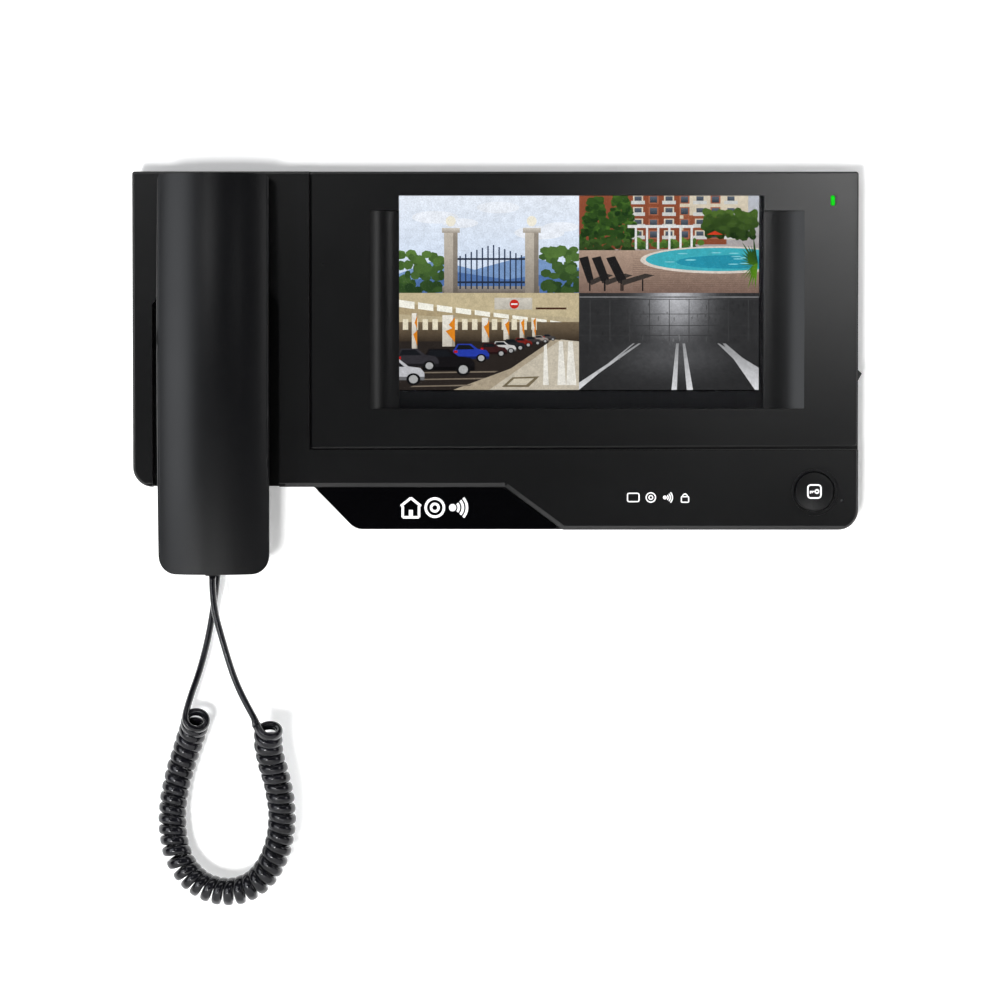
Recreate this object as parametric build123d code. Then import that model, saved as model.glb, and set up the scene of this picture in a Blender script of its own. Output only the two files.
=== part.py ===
from build123d import *
import os
from math import cos, pi, radians, sin, sqrt, tan

# A wall-mounted video door intercom monitor with a corded handset.
# +X is right, +Z is up and the front faces -Y. The origin is the centre of the
# bracket's screw pattern on the wall. Depths are distances from the wall, along -Y.

# Outline of the base, front view
LEFT = -157.0
RIGHT = 157.0
TOP = 68.2
BOTTOM = -68.2
CHIN_BOTTOM = -86.8
CHIN_TOP_X = -79.0
CHIN_BOTTOM_X = -61.0
STEP_TOP_X = 4.1
STEP_BOTTOM_X = 29.2
LOWER_CORNER_R = 8.7
UPPER_CORNER_R = 1.2

# Depths of the base
RECESS_BEHIND = 5.5
BACK_WALL_FRONT = 8.0
SPLIT = 20.0
PLATE_SEAT = 27.0
PANEL_SEAT = 31.0
FRONT_FACE = 34.0
PANEL_FACE = 35.0
REAR_INSET = 0.8
REAR_WALL = 2.2
WALL = 2.5
LIP = 1.2
BEVEL = 1.0
LOWER_BEVEL = 1.8

# Screen, seen from the front
WINDOW_LEFT = -41.8
WINDOW_RIGHT = 116.0
WINDOW_LOW = -34.2
WINDOW_HIGH = 57.8
WINDOW_SEAT = 29.8
WINDOW_THICK = 1.5
WINDOW_LAP = 2.5
SCOOP_LEFT = -54.3
SCOOP_RIGHT = 133.4
SCOOP_HIGH = 51.3
PANEL_LEFT = -80.5
PANEL_BOTTOM = -52.0
SEAM = 0.5
LCD_X = 36.2
LCD_Z = 11.9
LCD_W = 165.0
LCD_H = 100.8
LCD_BACK = 22.5
PICTURE_W = 155.9
PICTURE_H = 84.0
PICTURE_Z = 15.8

# Cradle and handset
RECESS_LEFT = -148.5
RECESS_RIGHT = -93.7
RECESS_TOP = 17.0
RECESS_CORNER_X = 4.3
RECESS_CORNER_Z = 6.4
RECESS_FLOOR = 22.0
POCKET_FLOOR = 26.0
HANDSET_X = -120.8
HANDSET_W = 48.0
HANDSET_TOP = 66.7
HANDSET_BOTTOM = -105.0
HANDSET_DRAFT = 3.0
HANDSET_FACE = 62.0
HANDSET_SPLIT = 46.0
HANDSET_WALL = 2.4
GRIP_BACK = 42.0
EAR_BACK = 34.6
MOUTH_BACK = 29.5
EAR_Z = 42.5
MOUTH_Z = -90.0
EAR_CUP_W = 34.0
EAR_CUP_BOTTOM = 25.5
EAR_CUP_TOP = 59.0
EAR_CUP_BACK = 28.0

# Controls
BUTTON_X = 138.0
BUTTON_Z = -70.1
BUTTON_R = 8.6
BUTTON_TRAVEL = 1.0
MICROPHONE_X = 150.0
MICROPHONE_Z = -73.9
LED_X = 145.6
LED_Z = 55.6
SLIDER_Z = -20.0
SLIDER_TRAVEL = 4.0
SLIDER_DEPTH = 26.0
HOOK_Z = 28.5

# Boards
MAIN_BOARD = (-74.0, 142.0, -57.0, 57.0)
MAIN_BOARD_BACK = 15.0
POWER_BOARD = (-143.0, -82.0, -50.0, 57.0)
POWER_BOARD_BACK = 12.0
BOARD_THICK = 1.6

# Fasteners, as front-view places
HOUSING_SCREWS = [
    (-149, 61), (-149, 20), (-86.5, -60), (-62, 62), (149.5, 43), (149.5, -44), (60, -80),
]
MAIN_POSTS = [(-68, -50), (-68, 50), (134, -50), (134, 50), (30, -52)]
POWER_POSTS = [(-138, -44), (-88, -44), (-138, 50), (-88, 50)]
LCD_POSTS = [(-67, -30), (-67, 45), (146, 2), (146, 34)]
BUTTON_BOARD_POSTS = [(126.5, -63), (126.5, -79)]
LED_BOARD_POSTS = [(144.6, 50.3), (151, 60)]
HANDSET_SCREWS_Z = [4, -55]
WALL_SCREWS = [(-23, -41.75), (23, -41.75), (-23, 41.75), (23, 41.75)]
WALL_SCREW_R = 2.2
BRACKET_THICK = 1.5
BRACKET_HOOKS = [(-50, 30), (50, 30), (-50, -36), (50, -36)]
LOCK_SCREW_X = 50.0
LOCK_SCREW_DEPTH = 2.75

# Ringer
RINGER_X = 100.0
RINGER_Z = -30.0
RINGER_R = 18.0

# Cord
CORD_D = 4.2
COIL_D = 12.3
CORD_EXIT_X = -120.6
CORD_EXIT_DEPTH = 13.5
GLAND_TIP = -76.0
BASE_LEAD = [
    (-120.6, -13.5, -76.0),
    (-120.6, -13.5, -92.0),
    (-122.6, -14.2, -110.0),
    (-125.6, -16.0, -130.0),
    (-129.6, -19.2, -148.0),
    (-134.0, -23.8, -161.8),
    (-135.4, -27.8, -169.4),
]
COIL = [
    (-130.9, -27.0, -170.0),
    (-132.6, -21.2, -175.4),
    (-135.8, -17.8, -183.4),
    (-140.0, -17.2, -198.0),
    (-142.2, -18.6, -214.6),
    (-139.4, -21.4, -231.0),
    (-130.2, -24.6, -242.4),
    (-116.4, -27.6, -246.0),
    (-103.4, -30.6, -241.2),
    (-95.2, -33.6, -228.4),
    (-92.0, -36.8, -212.4),
    (-94.0, -40.0, -196.6),
    (-97.6, -42.4, -184.4),
    (-98.4, -45.4, -177.0),
    (-97.0, -50.4, -171.8),
]
HANDSET_LEAD = [
    (-122.0, -45.0, -106.0),
    (-122.0, -45.0, -118.0),
    (-117.8, -45.1, -133.5),
    (-113.0, -45.6, -149.5),
    (-107.4, -46.8, -161.5),
    (-102.2, -49.6, -170.8),
]

FRONT = Plane(origin=(0, 0, 0), x_dir=(1, 0, 0), z_dir=(0, -1, 0))
SIDE = Plane(origin=(0, 0, 0), x_dir=(0, -1, 0), z_dir=(-1, 0, 0))


# Shapes that many pieces share

def face(points, radii):
    """A closed front-view outline with its corners rounded."""
    return make_face(FilletPolyline(*points, radius=radii, close=True))


def slab(outline, back, front):
    """A front-view outline made solid between two depths."""
    return extrude(FRONT.offset(back) * outline, front - back)


def block(x0, x1, z0, z1, back, front):
    """A plain box between limits in x, z and depth."""
    middle = Pos((x0 + x1) / 2, -(back + front) / 2, (z0 + z1) / 2)
    return middle * Box(x1 - x0, front - back, z1 - z0)


def rod(x, z, radius, back, front):
    """A round bar that runs from back to front."""
    return slab(Pos(x, z) * Circle(radius), back, front)


def rods(places, radius, back, front):
    """One group of equal bars."""
    return Compound([rod(x, z, radius, back, front) for x, z in places])


def pad(x, z, width, height, corner, back, front):
    """A box with four rounded upright edges, about its middle."""
    return slab(Pos(x, z) * RectangleRounded(width, height, corner), back, front)


def slant_shift(top_x, low_x):
    """How far a slanted edge moves sideways for each millimetre of inset."""
    run, drop = low_x - top_x, BOTTOM - CHIN_BOTTOM
    long = sqrt(run * run + drop * drop)
    return (1 - run / long) / (drop / long)


def outline_with_step(top_x, low_x, top_r, low_r, inset):
    """The base's outline, whose lower edge steps down along one slant."""
    shift = slant_shift(top_x, low_x) * inset
    points = [
        (LEFT + inset, BOTTOM + inset),
        (top_x + shift, BOTTOM + inset),
        (low_x + shift, CHIN_BOTTOM + inset),
        (RIGHT - inset, CHIN_BOTTOM + inset),
        (RIGHT - inset, TOP - inset),
        (LEFT + inset, TOP - inset),
    ]
    lower = LOWER_CORNER_R - inset
    upper = max(UPPER_CORNER_R - inset, 0.4)
    return face(points, [lower, top_r + inset, low_r, lower, upper, upper])


def body_outline(inset=0.0):
    return outline_with_step(CHIN_TOP_X, CHIN_BOTTOM_X, 2.0, 8.0, inset)


def step_outline(inset=0.0):
    return outline_with_step(STEP_TOP_X, STEP_BOTTOM_X, 6.5, 1.5, inset)


# Wall bracket

def wall_bracket():
    plate = pad(0, 0, 120, 104, 6, 0, BRACKET_THICK)
    plate += block(LOCK_SCREW_X - 6, LOCK_SCREW_X + 6, -78, -50, 0, BRACKET_THICK)
    plate += block(LOCK_SCREW_X - 6, LOCK_SCREW_X + 6, -78, -76.5, 0, RECESS_BEHIND - 0.4)
    plate -= pad(0, 0, 62, 42, 5, -1, 3)
    for x, z in WALL_SCREWS:
        plate -= rod(x, z, WALL_SCREW_R, -1, 3)
    for x, z in BRACKET_HOOKS:
        plate += block(x - 6, x + 6, z, z + BRACKET_THICK, 0, BACK_WALL_FRONT + 1.9)
        plate += block(x - 6, x + 6, z, z + 8, BACK_WALL_FRONT + 0.4, BACK_WALL_FRONT + 1.9)
    hole = Pos(LOCK_SCREW_X, -LOCK_SCREW_DEPTH, -77) * Cylinder(1.25, 6)
    return plate - hole


def bracket_lock_screw():
    head_top = CHIN_BOTTOM + REAR_INSET
    head = Pos(LOCK_SCREW_X, -LOCK_SCREW_DEPTH, head_top - 0.9) * Cylinder(2.4, 1.8)
    slot = Pos(LOCK_SCREW_X, -LOCK_SCREW_DEPTH, head_top - 1.5) * Box(4, 0.8, 1.0)
    shank = Pos(LOCK_SCREW_X, -LOCK_SCREW_DEPTH, head_top + 6) * Cylinder(1.2, 12)
    return head - slot + shank


# Rear housing

def rear_housing():
    tub = slab(body_outline(REAR_INSET), 0, SPLIT)
    tub -= slab(body_outline(REAR_INSET + REAR_WALL), -1, RECESS_BEHIND)
    tub -= slab(body_outline(REAR_INSET + REAR_WALL), BACK_WALL_FRONT, SPLIT + 1)
    lip = slab(body_outline(WALL + 0.2), SPLIT - 3, SPLIT + 2)
    lip -= slab(body_outline(WALL + 0.2 + LIP), SPLIT - 4, SPLIT + 3)
    lip -= slab(recess_outline(WALL + 0.3), SPLIT, SPLIT + 3)
    for x, z in HOUSING_SCREWS:
        lip -= rod(x, z, 3.8, SPLIT, SPLIT + 3)
    tub += lip
    for x, z in HOUSING_SCREWS:
        tub += rod(x, z, 4.0, RECESS_BEHIND, SPLIT)
        tub -= rod(x, z, 3.3, RECESS_BEHIND - 1, 14)
        tub -= rod(x, z, 1.7, 13, SPLIT + 3)
    for x, z in MAIN_POSTS:
        tub += rod(x, z, 3.0, BACK_WALL_FRONT, MAIN_BOARD_BACK) - rod(x, z, 1.1, 9, 16)
    for x, z in POWER_POSTS:
        tub += rod(x, z, 3.0, BACK_WALL_FRONT, POWER_BOARD_BACK) - rod(x, z, 1.1, 9, 13)
    return tub - rear_openings()


def rear_openings():
    """Cable window, hook slots, ringer slots, vents, cord and lock screw holes."""
    cuts = [pad(0, 0, 62, 42, 5, 5, 9)]
    for x, z in BRACKET_HOOKS:
        cuts.append(block(x - 8, x + 8, z - 7, z + 3.5, 5, 9))
    for i in range(-3, 4):
        half = sqrt((RINGER_R - 4) ** 2 - (i * 4) ** 2)
        cuts.append(pad(RINGER_X, RINGER_Z + i * 4, 2 * half, 1.8, 0.85, 5, 9))
    for i in range(18):
        x = -48 + i * 10
        cuts.append(block(x - 1, x + 1, TOP - 4, TOP + 1, 10, 16.5))
    for i in range(10):
        x = -40 + i * 8
        cuts.append(block(x - 1, x + 1, CHIN_BOTTOM - 1, CHIN_BOTTOM + 3.5, 10, 16.5))
    exit_hole = Pos(CORD_EXIT_X, -CORD_EXIT_DEPTH, BOTTOM + 2) * Cylinder(4.1, 8)
    inner_wall = BOTTOM + REAR_INSET + REAR_WALL
    exit_hole += Pos(CORD_EXIT_X, -CORD_EXIT_DEPTH, inner_wall + 2) * Cylinder(5.3, 4)
    lock_hole = Pos(LOCK_SCREW_X, -LOCK_SCREW_DEPTH, CHIN_BOTTOM + 2) * Cylinder(1.6, 6)
    return Compound(cuts + [exit_hole, lock_hole])


def base_cord_gland():
    """A rubber gland through the bottom wall, grooved where the wall sits in it."""
    wall_low = BOTTOM + REAR_INSET
    wall_high = wall_low + REAR_WALL
    flange = Pos(0, 0, wall_high + 1.1) * Cylinder(5.0, 2.0)
    neck = Pos(0, 0, (wall_low + wall_high) / 2) * Cylinder(4.0, REAR_WALL + 0.3)
    collar = Pos(0, 0, wall_low - 1.1) * Cylinder(5.0, 2.0)
    sleeve_top = wall_low - 2.1
    middle = (sleeve_top + GLAND_TIP) / 2
    sleeve = Pos(0, 0, middle) * Rot(180, 0, 0) * Cone(3.8, 2.7, sleeve_top - GLAND_TIP)
    return Pos(CORD_EXIT_X, -CORD_EXIT_DEPTH, 0) * (flange + neck + collar + sleeve)


# Front housing

def recess_outline(inset=0.0):
    low = BOTTOM - 1
    left, right, top = RECESS_LEFT - inset, RECESS_RIGHT + inset, RECESS_TOP + inset
    points = [
        (left, low),
        (right, low),
        (right, top - RECESS_CORNER_Z),
        (right - RECESS_CORNER_X, top),
        (left + RECESS_CORNER_X, top),
        (left, top - RECESS_CORNER_Z),
    ]
    return face(points, [0.5] * 6)


def ear_pocket(grow, back, front):
    return pad(HANDSET_X, 43.5, 39 + 2 * grow, 41 + 2 * grow, 9 + grow, back, front)


def front_shell():
    """The whole front moulding, before it is parted at the panel's left seam."""
    shell = slab(body_outline(), SPLIT, PLATE_SEAT)
    shell += bevelled(slab(step_outline(), PLATE_SEAT - 1, FRONT_FACE))
    shell -= block(PANEL_LEFT, RIGHT + 1, PANEL_BOTTOM, TOP + 1, PANEL_SEAT, FRONT_FACE + 1)
    shell -= front_cavity()
    shell += cradle_walls()
    shell -= slab(recess_outline(), RECESS_FLOOR, FRONT_FACE + 1)
    shell -= ear_pocket(0, POCKET_FLOOR, FRONT_FACE + 1)
    for x, z in HOUSING_SCREWS:
        ceiling = PANEL_SEAT - 1 if x > PANEL_LEFT and z > PANEL_BOTTOM else FRONT_FACE - 1
        shell += rod(x, z, 3.5, SPLIT + 0.05, ceiling) - rod(x, z, 1.45, SPLIT - 1, 28.5)
    for x, z in LCD_POSTS:
        shell += rod(x, z, 3.0, LCD_BACK - 0.3, PANEL_SEAT - 1) - rod(x, z, 1.15, 20, 28.5)
    for x, z in BUTTON_BOARD_POSTS:
        shell += rod(x, z, 2.5, 25.2, FRONT_FACE - 2)
    for x, z in LED_BOARD_POSTS:
        shell += rod(x, z, 1.2, 21.2, PANEL_SEAT - 1)
    return shell - front_openings()


def bevelled(shell):
    """The front face's rim with a bevel all round, a wider one along the bottom and slant."""
    rim = shell.faces().sort_by(Axis.Y)[0].outer_wire().edges()
    shell = chamfer(rim, BEVEL)
    for start, end in lower_edges():
        shell -= bevel_wedge(start, end, LOWER_BEVEL)
    return shell


def lower_edges():
    """The straight runs of the step outline's lower edge, left to right."""
    low_left = (LEFT, BOTTOM)
    top_of_slant = (STEP_TOP_X, BOTTOM)
    foot_of_slant = (STEP_BOTTOM_X, CHIN_BOTTOM)
    low_right = (RIGHT, CHIN_BOTTOM)
    return [(low_left, top_of_slant), (top_of_slant, foot_of_slant), (foot_of_slant, low_right)]


def bevel_wedge(start, end, size):
    """A prism under a run of the lower edge that leaves a 45 degree bevel on it."""
    run = Vector(end[0] - start[0], end[1] - start[1])
    along = Vector(run.X, 0, run.Y).normalized()
    section = Plane(origin=(start[0], -FRONT_FACE, start[1]), x_dir=(0, 1, 0), z_dir=along)
    corner = make_face(Polyline((size, 0), (0, size), (-1, size), (-1, -1), (size, -1), (size, 0)))
    return extrude(section * corner, run.length)


def front_cavity():
    room = slab(body_outline(WALL), SPLIT - 1, PLATE_SEAT - WALL)
    high = slab(step_outline(WALL), SPLIT, FRONT_FACE - WALL)
    under_panel = block(
        PANEL_LEFT - WALL, RIGHT + 1, PANEL_BOTTOM - WALL, TOP + 1, PANEL_SEAT - 2, FRONT_FACE
    )
    return room + (high - under_panel)


def cradle_walls():
    inner = slab(body_outline(0.5), SPLIT, FRONT_FACE - 0.5)
    recess = slab(recess_outline(WALL), SPLIT, FRONT_FACE - 0.5)
    return (recess & inner) + (ear_pocket(2, POCKET_FLOOR - 2, FRONT_FACE - 0.5) & inner)


def front_openings():
    """Screen mouth, button, microphone, hook, light pipe and slider openings."""
    mouth = block(-58, 137, -38, 62, PANEL_SEAT - 3, PANEL_SEAT + 1)
    button = rod(BUTTON_X, BUTTON_Z, BUTTON_R + 0.3, 30, 36)
    groove = rod(BUTTON_X, BUTTON_Z, 10.6, 33.4, 36) - rod(BUTTON_X, BUTTON_Z, 9.7, 33, 37)
    sound = rod(MICROPHONE_X, MICROPHONE_Z, 0.6, 30, 36)
    hook = rod(HANDSET_X, HOOK_Z, 2.3, 23, 30)
    light = pad(LED_X, LED_Z, 3.4, 6.0, 1.0, 28, 32)
    reach = 2.7 + SLIDER_TRAVEL + 0.4
    slider = block(
        RIGHT - 4, RIGHT + 1, SLIDER_Z - reach, SLIDER_Z + reach,
        SLIDER_DEPTH - 1.8, SLIDER_DEPTH + 1.8,
    )
    return Compound([mouth, button, groove, sound, hook, light, slider])


def gloss_plate():
    gap = 0.4
    points = [
        (CHIN_TOP_X + gap, BOTTOM - gap),
        (CHIN_BOTTOM_X, CHIN_BOTTOM + gap),
        (STEP_BOTTOM_X - 1.2, CHIN_BOTTOM + gap),
        (STEP_TOP_X - 1.2, BOTTOM - gap),
    ]
    return slab(face(points, [1.0, 8.0, 0.8, 6.0]), PLATE_SEAT, PLATE_SEAT + 2.2)


# Screen

def screen_panel():
    outline = face(
        [(PANEL_LEFT + SEAM, PANEL_BOTTOM + SEAM), (RIGHT - 0.4, PANEL_BOTTOM + 1.4),
         (RIGHT - 0.4, TOP - 0.3), (PANEL_LEFT + SEAM, TOP - 0.3)],
        [1.0, 1.5, 1.5, 1.0],
    )
    dish = slab(outline, PANEL_SEAT, PANEL_FACE)
    dish = chamfer(dish.faces().sort_by(Axis.Y)[0].outer_wire().edges(), 0.7)
    dish -= block(-77.5, 154, -49, 65.5, PANEL_SEAT - 1, PANEL_FACE - WALL)
    dish += block(-56.5, 135.5, -36.5, 60.5, WINDOW_SEAT, PANEL_FACE - 1)
    dish -= scoops()
    dish -= block(WINDOW_LEFT, WINDOW_RIGHT, WINDOW_LOW, WINDOW_HIGH, 20, 40)
    dish -= pad(LED_X, LED_Z, 3.0, 6.2, 1.2, PANEL_FACE - 0.6, 40)
    dish -= pad(LED_X, LED_Z, 2.1, 4.6, 0.9, 20, 40)
    return dish


def scoops():
    """The hollow between the scoops' curves, each side of the window."""
    left, right, floor = WINDOW_LEFT, WINDOW_RIGHT, PANEL_SEAT
    edges = [
        ThreePointArc((SCOOP_LEFT, PANEL_FACE), (-49.6, 32.3), (left, floor)),
        Line((left, floor), (right, floor)),
        ThreePointArc((right, floor), (127.4, 32.5), (SCOOP_RIGHT, PANEL_FACE)),
        Line((SCOOP_RIGHT, PANEL_FACE), (SCOOP_RIGHT, PANEL_FACE + 2)),
        Line((SCOOP_RIGHT, PANEL_FACE + 2), (SCOOP_LEFT, PANEL_FACE + 2)),
        Line((SCOOP_LEFT, PANEL_FACE + 2), (SCOOP_LEFT, PANEL_FACE)),
    ]
    from_above = Plane(origin=(0, 0, SCOOP_HIGH), x_dir=(1, 0, 0), z_dir=(0, 0, -1))
    return extrude(from_above * make_face(edges), SCOOP_HIGH - WINDOW_LOW)


def screen_window():
    middle_x = (WINDOW_LEFT + WINDOW_RIGHT) / 2
    middle_z = (WINDOW_LOW + WINDOW_HIGH) / 2
    width = WINDOW_RIGHT - WINDOW_LEFT + 2 * WINDOW_LAP
    height = WINDOW_HIGH - WINDOW_LOW + 2 * WINDOW_LAP
    return pad(middle_x, middle_z, width, height, 1.5, WINDOW_SEAT - WINDOW_THICK, WINDOW_SEAT)


def lcd_frame():
    ring = pad(LCD_X, LCD_Z, LCD_W + 1.6, LCD_H + 1.6, 1.2, LCD_BACK, LCD_BACK + 5.5)
    ring -= pad(LCD_X, LCD_Z, LCD_W, LCD_H, 0.6, LCD_BACK - 1, LCD_BACK + 5.0)
    return ring - pad(LCD_X, PICTURE_Z, PICTURE_W + 1, PICTURE_H + 1, 0.6, LCD_BACK, LCD_BACK + 7)


def lcd_backlight():
    return pad(LCD_X, LCD_Z, LCD_W - 0.4, LCD_H - 0.4, 0.5, LCD_BACK, LCD_BACK + 3.0)


def lcd_cell():
    return pad(LCD_X, LCD_Z + 1, 160, 96, 0.4, LCD_BACK + 3.1, LCD_BACK + 4.9)


def lcd_bracket():
    """Sheet metal frame that clamps the display to four posts."""
    back, front = LCD_BACK - 1.5, LCD_BACK - 0.3
    frame = pad(LCD_X, LCD_Z, 174, 104, 3, back, front)
    frame -= pad(LCD_X, LCD_Z, 140, 72, 6, back - 1, front + 1)
    for x, z in LCD_POSTS:
        inner = -40 if x < 0 else 116
        frame += block(min(x, inner), max(x, inner), z - 5, z + 5, back, front)
        frame += rod(x, z, 5, back, front)
        frame -= rod(x, z, 1.3, back - 1, front + 1)
    return frame


def lcd_screws():
    back = LCD_BACK - 1.5
    screws = []
    for x, z in LCD_POSTS:
        screws.append(rod(x, z, 2.4, back - 1.4, back) + rod(x, z, 1.1, back, 27.5))
    return Compound(screws)


def lcd_ribbon():
    """Flat flexible lead from the display's lower edge to the main board."""
    low, high = -43.4, -31.0
    front = block(20, 44, low, high, LCD_BACK - 0.25, LCD_BACK)
    fold = block(20, 44, low - 0.25, low, 18.9, LCD_BACK)
    back = block(20, 44, low, high, 18.9, 19.15)
    return front + fold + back


# Main board

def board(limits, back, posts):
    x0, x1, z0, z1 = limits
    plate = pad((x0 + x1) / 2, (z0 + z1) / 2, x1 - x0, z1 - z0, 1.5, back, back + BOARD_THICK)
    for x, z in posts:
        plate -= rod(x, z, 1.3, back - 1, back + 3)
    return plate


def board_screws(posts, board_back):
    top = board_back + BOARD_THICK
    screws = []
    for x, z in posts:
        screws.append(rod(x, z, 2.3, top, top + 1.5) + rod(x, z, 1.05, board_back - 3, top))
    return screws


def pcb_screws():
    screws = board_screws(MAIN_POSTS, MAIN_BOARD_BACK)
    return Compound(screws + board_screws(POWER_POSTS, POWER_BOARD_BACK))


def main_chips():
    top = MAIN_BOARD_BACK + BOARD_THICK
    chips = [
        (0, 4, 22, 22, 2.0), (44, 22, 14, 14, 1.4), (-32, 26, 16, 10, 2.2), (86, 2, 12, 12, 1.4),
        (70, 34, 18, 8, 1.6), (-46, -20, 10, 8, 1.8), (112, -20, 9, 6, 1.6), (20, -20, 8, 6, 1.4),
    ]
    return Compound([pad(x, z, w, h, 0.4, top, top + t) for x, z, w, h, t in chips])


def main_capacitors():
    top = MAIN_BOARD_BACK + BOARD_THICK
    cans = [(-62, 30), (-62, 20), (-20, -34), (-10, -34), (100, 26), (108, 26), (62, -26), (-50, 42)]
    return rods(cans, 3.0, top, top + 4.0)


def main_connectors():
    top = MAIN_BOARD_BACK + BOARD_THICK
    sockets = [
        (-69, -8, 5, 24), (32, -30, 30, 5), (134, -28, 5, 14),
        (134, 14, 5, 12), (134, 34, 5, 10), (-20, 51, 20, 5),
    ]
    shells = []
    for x, z, w, h in sockets:
        shell = pad(x, z, w, h, 0.5, top, top + 2.2)
        shells.append(shell - pad(x, z, w - 2, h - 2, 0.2, top + 1, top + 3))
    return Compound(shells)


def terminal_block():
    back = 9.0
    body = pad(0, 0, 48, 15, 0.8, back, MAIN_BOARD_BACK)
    for i in range(8):
        x = -21 + 6 * i
        body -= rod(x, 3, 1.9, back - 1, back + 3.2)
        body -= block(x - 1.6, x + 1.6, -8, -1.5, back + 0.8, back + 3.6)
    return body


def terminal_screws():
    return Compound([rod(-21 + 6 * i, 3, 1.7, 9.6, 12.2) for i in range(8)])


# Power board behind the cradle

def power_transformer():
    top = POWER_BOARD_BACK + BOARD_THICK
    core = pad(-105, 46, 24, 18, 0.6, top + 1, top + 8.6)
    winding = pad(-105, 46, 14, 22, 2.0, top, top + 9.6)
    return core + winding


def power_capacitors():
    depth = POWER_BOARD_BACK + BOARD_THICK + 3.1
    places = [(-134, -10), (-127, -10), (-134, 8), (-127, 8)]
    return Compound([Pos(x, -depth, z) * Cylinder(3.0, 11) for x, z in places])


def power_fuse():
    top = POWER_BOARD_BACK + BOARD_THICK
    fuse = Pos(-104, -(top + 3.0), -12) * Rot(0, 90, 0) * Cylinder(2.5, 20)
    for x in (-112, -96):
        fuse += pad(x, -12, 5, 6.4, 0.3, top, top + 1.6)
    return fuse


def door_relay():
    top = POWER_BOARD_BACK + BOARD_THICK
    return pad(-104, -32, 19, 15, 0.8, top, top + 5.9)


def board_harness():
    """Ribbon of eight wires, with a plug on the power board's edge."""
    harness = block(-84, -82.5, -16, -1.5, 13.7, 18.6)
    for i in range(8):
        harness += Pos(-77.5, -17.6, -14 + 1.5 * i) * Rot(0, 90, 0) * Cylinder(0.78, 11)
    return harness


def hook_switch():
    body = pad(HANDSET_X, HOOK_Z, 12, 7, 0.6, 13.6, 18.0)
    return body - rod(HANDSET_X, HOOK_Z, 1.7, 14.2, 19)


def hook_plunger():
    stem = rod(HANDSET_X, HOOK_Z, 1.4, 14.6, 20)
    return stem + rod(HANDSET_X, HOOK_Z, 2.0, 19, EAR_CUP_BACK - 0.3)


# Ringer and microphone

def ring_speaker():
    back = BACK_WALL_FRONT + 0.1
    frame = rod(RINGER_X, RINGER_Z, RINGER_R, back, back + 2.6)
    frame -= rod(RINGER_X, RINGER_Z, RINGER_R - 2, back - 1, back + 1.9)
    return frame + rod(RINGER_X, RINGER_Z, 9.5, back + 2, back + 6)


def ring_speaker_cone():
    back = BACK_WALL_FRONT + 0.4
    cone = rod(RINGER_X, RINGER_Z, RINGER_R - 2.2, back, back + 0.6)
    return cone + rod(RINGER_X, RINGER_Z, 6, back + 0.5, back + 1.4)


def base_microphone():
    return rod(MICROPHONE_X, MICROPHONE_Z, 2.0, 29.7, 31.2)


def microphone_boot():
    boot = rod(MICROPHONE_X, MICROPHONE_Z, 3.0, 28.4, FRONT_FACE - WALL)
    boot -= rod(MICROPHONE_X, MICROPHONE_Z, 2.05, 29.6, 31.3)
    return boot - rod(MICROPHONE_X, MICROPHONE_Z, 0.9, 31, 33)


# Door release button

def release_button():
    cap = rod(BUTTON_X, BUTTON_Z, BUTTON_R, 30, FRONT_FACE + 0.5)
    rim = cap.faces().sort_by(Axis.Y)[0].edges()
    cap = chamfer(rim, 0.5)
    dish_r = 90.0
    depth = FRONT_FACE + 0.5 - 0.35
    cap -= Pos(BUTTON_X, -(depth + dish_r), BUTTON_Z) * Sphere(dish_r)
    cap += rod(BUTTON_X, BUTTON_Z, 9.3, 29.9, 31.2)
    return cap + rod(BUTTON_X, BUTTON_Z, 2.5, 29.5, 31)


def release_switch():
    body = pad(BUTTON_X, BUTTON_Z, 6, 6, 0.3, 25.3, 28.3)
    return body - rod(BUTTON_X, BUTTON_Z, 1.9, 26.2, 29)


def release_switch_plunger():
    return rod(BUTTON_X, BUTTON_Z, 1.7, 27.4, 29.4)


def button_board():
    return pad(BUTTON_X, BUTTON_Z - 0.9, 28, 23, 1, 24.0, 25.2)


# Indicator light

def indicator_led():
    return pad(LED_X, LED_Z, 3.0, 3.5, 0.4, 21.3, 23.4)


def led_board():
    return pad(147.9, 55.5, 9.6, 12, 0.8, 20.1, 21.2)


def led_light_pipe():
    pipe = pad(LED_X, LED_Z, 1.6, 4.1, 0.75, 23.6, PANEL_FACE - 0.2)
    return pipe + pad(LED_X, LED_Z, 5.0, 8.0, 1.0, 26.8, 28.6)


# Volume slider on the right side

def volume_slider_knob():
    points = [
        (RIGHT - 3.8, SLIDER_Z - 2.7),
        (RIGHT, SLIDER_Z - 2.7),
        (RIGHT + 2.0, SLIDER_Z + 0.9),
        (RIGHT, SLIDER_Z + 2.7),
        (RIGHT - 3.8, SLIDER_Z + 2.7),
    ]
    tooth = slab(face(points, [0.3, 0.3, 0.35, 0.3, 0.3]), SLIDER_DEPTH - 1.4, SLIDER_DEPTH + 1.4)
    lever = block(
        RIGHT - 8, RIGHT - 3, SLIDER_Z - 1.2, SLIDER_Z + 1.2, SLIDER_DEPTH - 0.7, SLIDER_DEPTH + 0.7
    )
    return tooth + lever


def volume_slide_pot():
    box = block(143, RIGHT - 5.6, SLIDER_Z - 13, SLIDER_Z + 13, 23, 28.8)
    reach = 1.2 + SLIDER_TRAVEL + 0.5
    return box - block(
        RIGHT - 8.6, RIGHT, SLIDER_Z - reach, SLIDER_Z + reach, SLIDER_DEPTH - 1, SLIDER_DEPTH + 1
    )


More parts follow.
